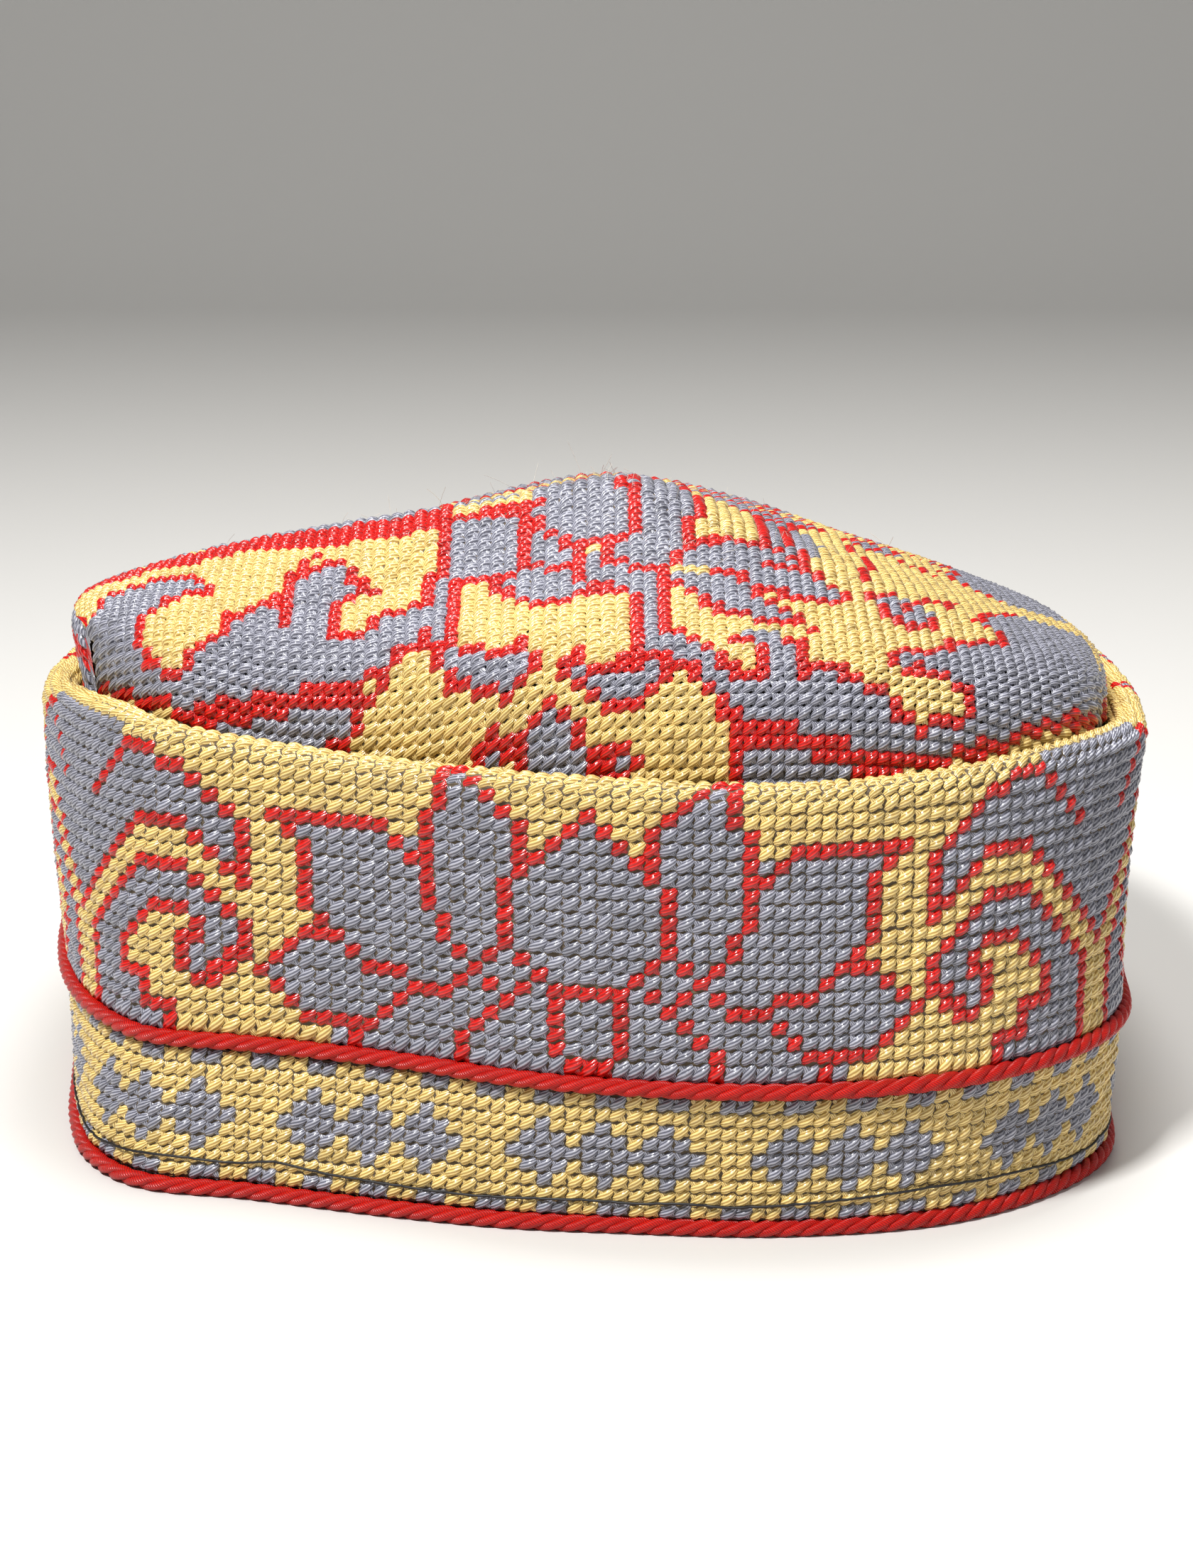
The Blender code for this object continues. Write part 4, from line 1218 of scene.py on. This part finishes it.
class TUBETEIKA_OT_cords(bpy.types.Operator):
    """The red cord over the join and the red cord round the bottom edge"""
    bl_idname = "tubeteika.cords"
    bl_label = "Cords"

    def execute(self, context):
        colours, sizes = context.scene.tubeteika_colours, context.scene.tubeteika_sizes
        rayon = material_named("red_rayon_cord", rayon_cord, colours.cord, colours.cord_deep)
        turns = int(round(GIRTH / (sizes.cord_lay / MM)))
        steps = np.linspace(0, GIRTH, turns * 14, endpoint=False)
        outwards = place(steps, 1.0, 0.0) - place(steps, 0.0, 0.0)
        upwards = np.array((0.0, 0.0, 1.0))
        middles = {"piping_cord": place(steps, PIPING_OUT, JOIN_HEIGHT),
                   "edge_cord": place(steps, at("kick", steps), EDGE_SEAT + 0.35)}
        for name, middle in middles.items():
            parts = []
            for k in range(YARNS):
                turn = 2 * pi * (turns * steps / GIRTH + k / YARNS)[:, None]
                ring = outwards * np.cos(turn) + upwards * np.sin(turn)
                parts.append(tube(middle + ring * YARN_OUT, YARN_RADIUS, 8))
            points, faces, thread_map = joined(parts)
            points[:, 2] = np.maximum(points[:, 2], 0.02)
            item = new_object(f"{name}_yarns", points, faces, rayon, thread_map)
            seat(item, name)
            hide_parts(name)
        return {"FINISHED"}


class TUBETEIKA_OT_seam(bpy.types.Operator):
    """The black thread of the seam along the foot of the band"""
    bl_idname = "tubeteika.seam"
    bl_label = "Seam thread"

    def execute(self, context):
        radius = context.scene.tubeteika_sizes.seam_thread / MM / 2
        black = material_named("black_spun_thread", plain_thread, "#0C0B0D", 0.55)
        pitch = GIRTH / BAND_STITCHES
        steps = np.linspace(0, GIRTH, 1400, endpoint=False)
        marks, heights = np.array(SEAM_WAVES).T
        offset = np.mod(steps + GIRTH / 2, GIRTH) - GIRTH / 2
        row = np.interp(offset, marks, heights)
        # beyond the photo's view the thread waves gently
        free = (offset < marks[0]) | (offset > marks[-1])
        row = np.where(free, 1.1 + 0.25 * np.sin(offset / 9), row)
        kernel = np.ones(11) / 11
        row = np.convolve(np.concatenate((row[-5:], row, row[:5])), kernel, mode="valid")
        climb = row * (BAND_HIGH - BAND_LOW) / BAND_ROWS
        # each stitch pulls the thread into the ribbon for a moment
        pull = 0.22 * np.maximum(0, np.sin(steps / pitch * pi / 1.5)) ** 8
        route = band_point(steps, climb, -0.12 + pull)
        seat(new_object("seam_thread", *tube(route, radius, 6)[:2], black), "lower_band")
        return {"FINISHED"}


class TUBETEIKA_OT_fuzz(bpy.types.Operator):
    """Loose fibres that stand off the worn crown"""
    bl_idname = "tubeteika.fuzz"
    bl_label = "Fuzz"

    def execute(self, context):
        rng = np.random.default_rng(7)
        pale = material_named("pale_loose_fibre", plain_thread, "#C9C2B6", 0.5)
        parts = []
        for _ in range(context.scene.tubeteika_sizes.hairs):
            section = rng.uniform(0, GIRTH)
            way = rng.uniform(0.0, 0.97) ** 0.7
            shoulder = place(np.array(section), wall_out(section, 1.0) - at("inset", section), 0.0)
            x = shoulder[0] + (PEAK[0] - shoulder[0]) * way
            y = shoulder[1] + (PEAK[1] - shoulder[1]) * way
            root = crown_point(np.array([x]), np.array([y]), 0.2)[0]
            length = rng.uniform(0.8, 3.2)
            lean = rng.normal(0, 1, 3) + np.array((0, 0, 0.7))
            lean /= np.linalg.norm(lean)
            curl = rng.normal(0, 0.5, 3)
            t = np.linspace(0, 1, 6)[:, None]
            route = root + lean * length * t + curl * length * t ** 2 * 0.8
            route[:, 2] = np.maximum(route[:, 2], root[2] - 0.1 + 0.5 * t[:, 0])
            parts.append(tube(route, 0.03, 3, closed=False))
        seat(new_object("loose_fibres", *joined(parts)[:2], pale), "crown")
        return {"FINISHED"}


class TUBETEIKA_OT_stage(bpy.types.Operator):
    """Pale floor, soft studio light and the camera"""
    bl_idname = "tubeteika.stage"
    bl_label = "Stage"

    def execute(self, context):
        colours = context.scene.tubeteika_colours
        paper = material_named("matt_paper_sweep", paper_floor, colours.floor)
        self.sweep(paper)
        world = bpy.data.worlds.new("Studio")
        world.use_nodes = True
        world.node_tree.nodes["Background"].inputs["Color"].default_value = (1, 1, 1, 1)
        world.node_tree.nodes["Background"].inputs["Strength"].default_value = 0.18
        context.scene.world = world
        self.light("Key", (-0.30, -0.55, 0.85), 0.16, 15.0)
        self.light("Fill", (0.75, -0.5, 0.45), 0.6, 1.6)
        self.light("Top", (0.05, 0.1, 0.9), 0.3, 7.0)
        camera = bpy.data.cameras.new("Camera")
        camera.sensor_width = 36.0
        camera.sensor_fit = "HORIZONTAL"
        camera.lens = 105.84
        camera.clip_start = 0.01
        item = bpy.data.objects.new("Camera", camera)
        context.scene.collection.objects.link(item)
        item.location = (0.00086, -0.50755, 0.160)
        item.rotation_euler = (radians(76.6), 0, 0)
        context.scene.camera = item
        context.scene.view_settings.view_transform = "Standard"
        return {"FINISHED"}

    def sweep(self, paper):
        """A floor that turns up into a backdrop far behind the cap."""
        back, radius, height, half = 1.1, 0.5, 2.2, 3.0
        turns = np.linspace(0, pi / 2, 12)
        outline = [(-3.0, 0.0)]
        outline += [(back + radius * np.sin(t), radius - radius * np.cos(t)) for t in turns]
        outline += [(back + radius, height)]
        points = []
        for y, z in outline:
            points += [(-half / MM, y / MM, z / MM), (half / MM, y / MM, z / MM)]
        faces = [(2 * k, 2 * k + 1, 2 * k + 3, 2 * k + 2) for k in range(len(outline) - 1)]
        floor = new_object("floor", points, faces, paper)

    def light(self, name, place_m, size, power):
        """A soft box that looks at the cap."""
        lamp = bpy.data.lights.new(name, "AREA")
        lamp.energy = power
        lamp.size = size
        item = bpy.data.objects.new(name, lamp)
        bpy.context.scene.collection.objects.link(item)
        item.location = place_m
        aim = Vector((0, -0.02, 0.04)) - Vector(place_m)
        item.rotation_euler = aim.to_track_quat("-Z", "Y").to_euler()


class TUBETEIKA_PT_panel(bpy.types.Panel):
    """Lists the cap's pieces in the sidebar"""
    bl_label = "Tubeteika"
    bl_space_type = "VIEW_3D"
    bl_region_type = "UI"
    bl_category = "Tubeteika"

    def draw(self, context):
        for operator in OPERATORS:
            self.layout.operator(operator.bl_idname)
        for group in (context.scene.tubeteika_colours, context.scene.tubeteika_sizes):
            for name in group.__annotations__:
                self.layout.prop(group, name)


OPERATORS = (TUBETEIKA_OT_stage, TUBETEIKA_OT_cloths, TUBETEIKA_OT_wall, TUBETEIKA_OT_band,
             TUBETEIKA_OT_crown, TUBETEIKA_OT_cords, TUBETEIKA_OT_seam, TUBETEIKA_OT_fuzz)
CLASSES = (TubeteikaColours, TubeteikaSizes, *OPERATORS, TUBETEIKA_PT_panel)


def register():
    for item in CLASSES:
        bpy.utils.register_class(item)
    bpy.types.Scene.tubeteika_colours = bpy.props.PointerProperty(type=TubeteikaColours)
    bpy.types.Scene.tubeteika_sizes = bpy.props.PointerProperty(type=TubeteikaSizes)


def unregister():
    del bpy.types.Scene.tubeteika_sizes
    del bpy.types.Scene.tubeteika_colours
    for item in reversed(CLASSES):
        bpy.utils.unregister_class(item)


def main():
    register()
    for operator in OPERATORS:
        family, name = operator.bl_idname.split(".")
        getattr(getattr(bpy.ops, family), name)()


if __name__ == "__main__":
    main()
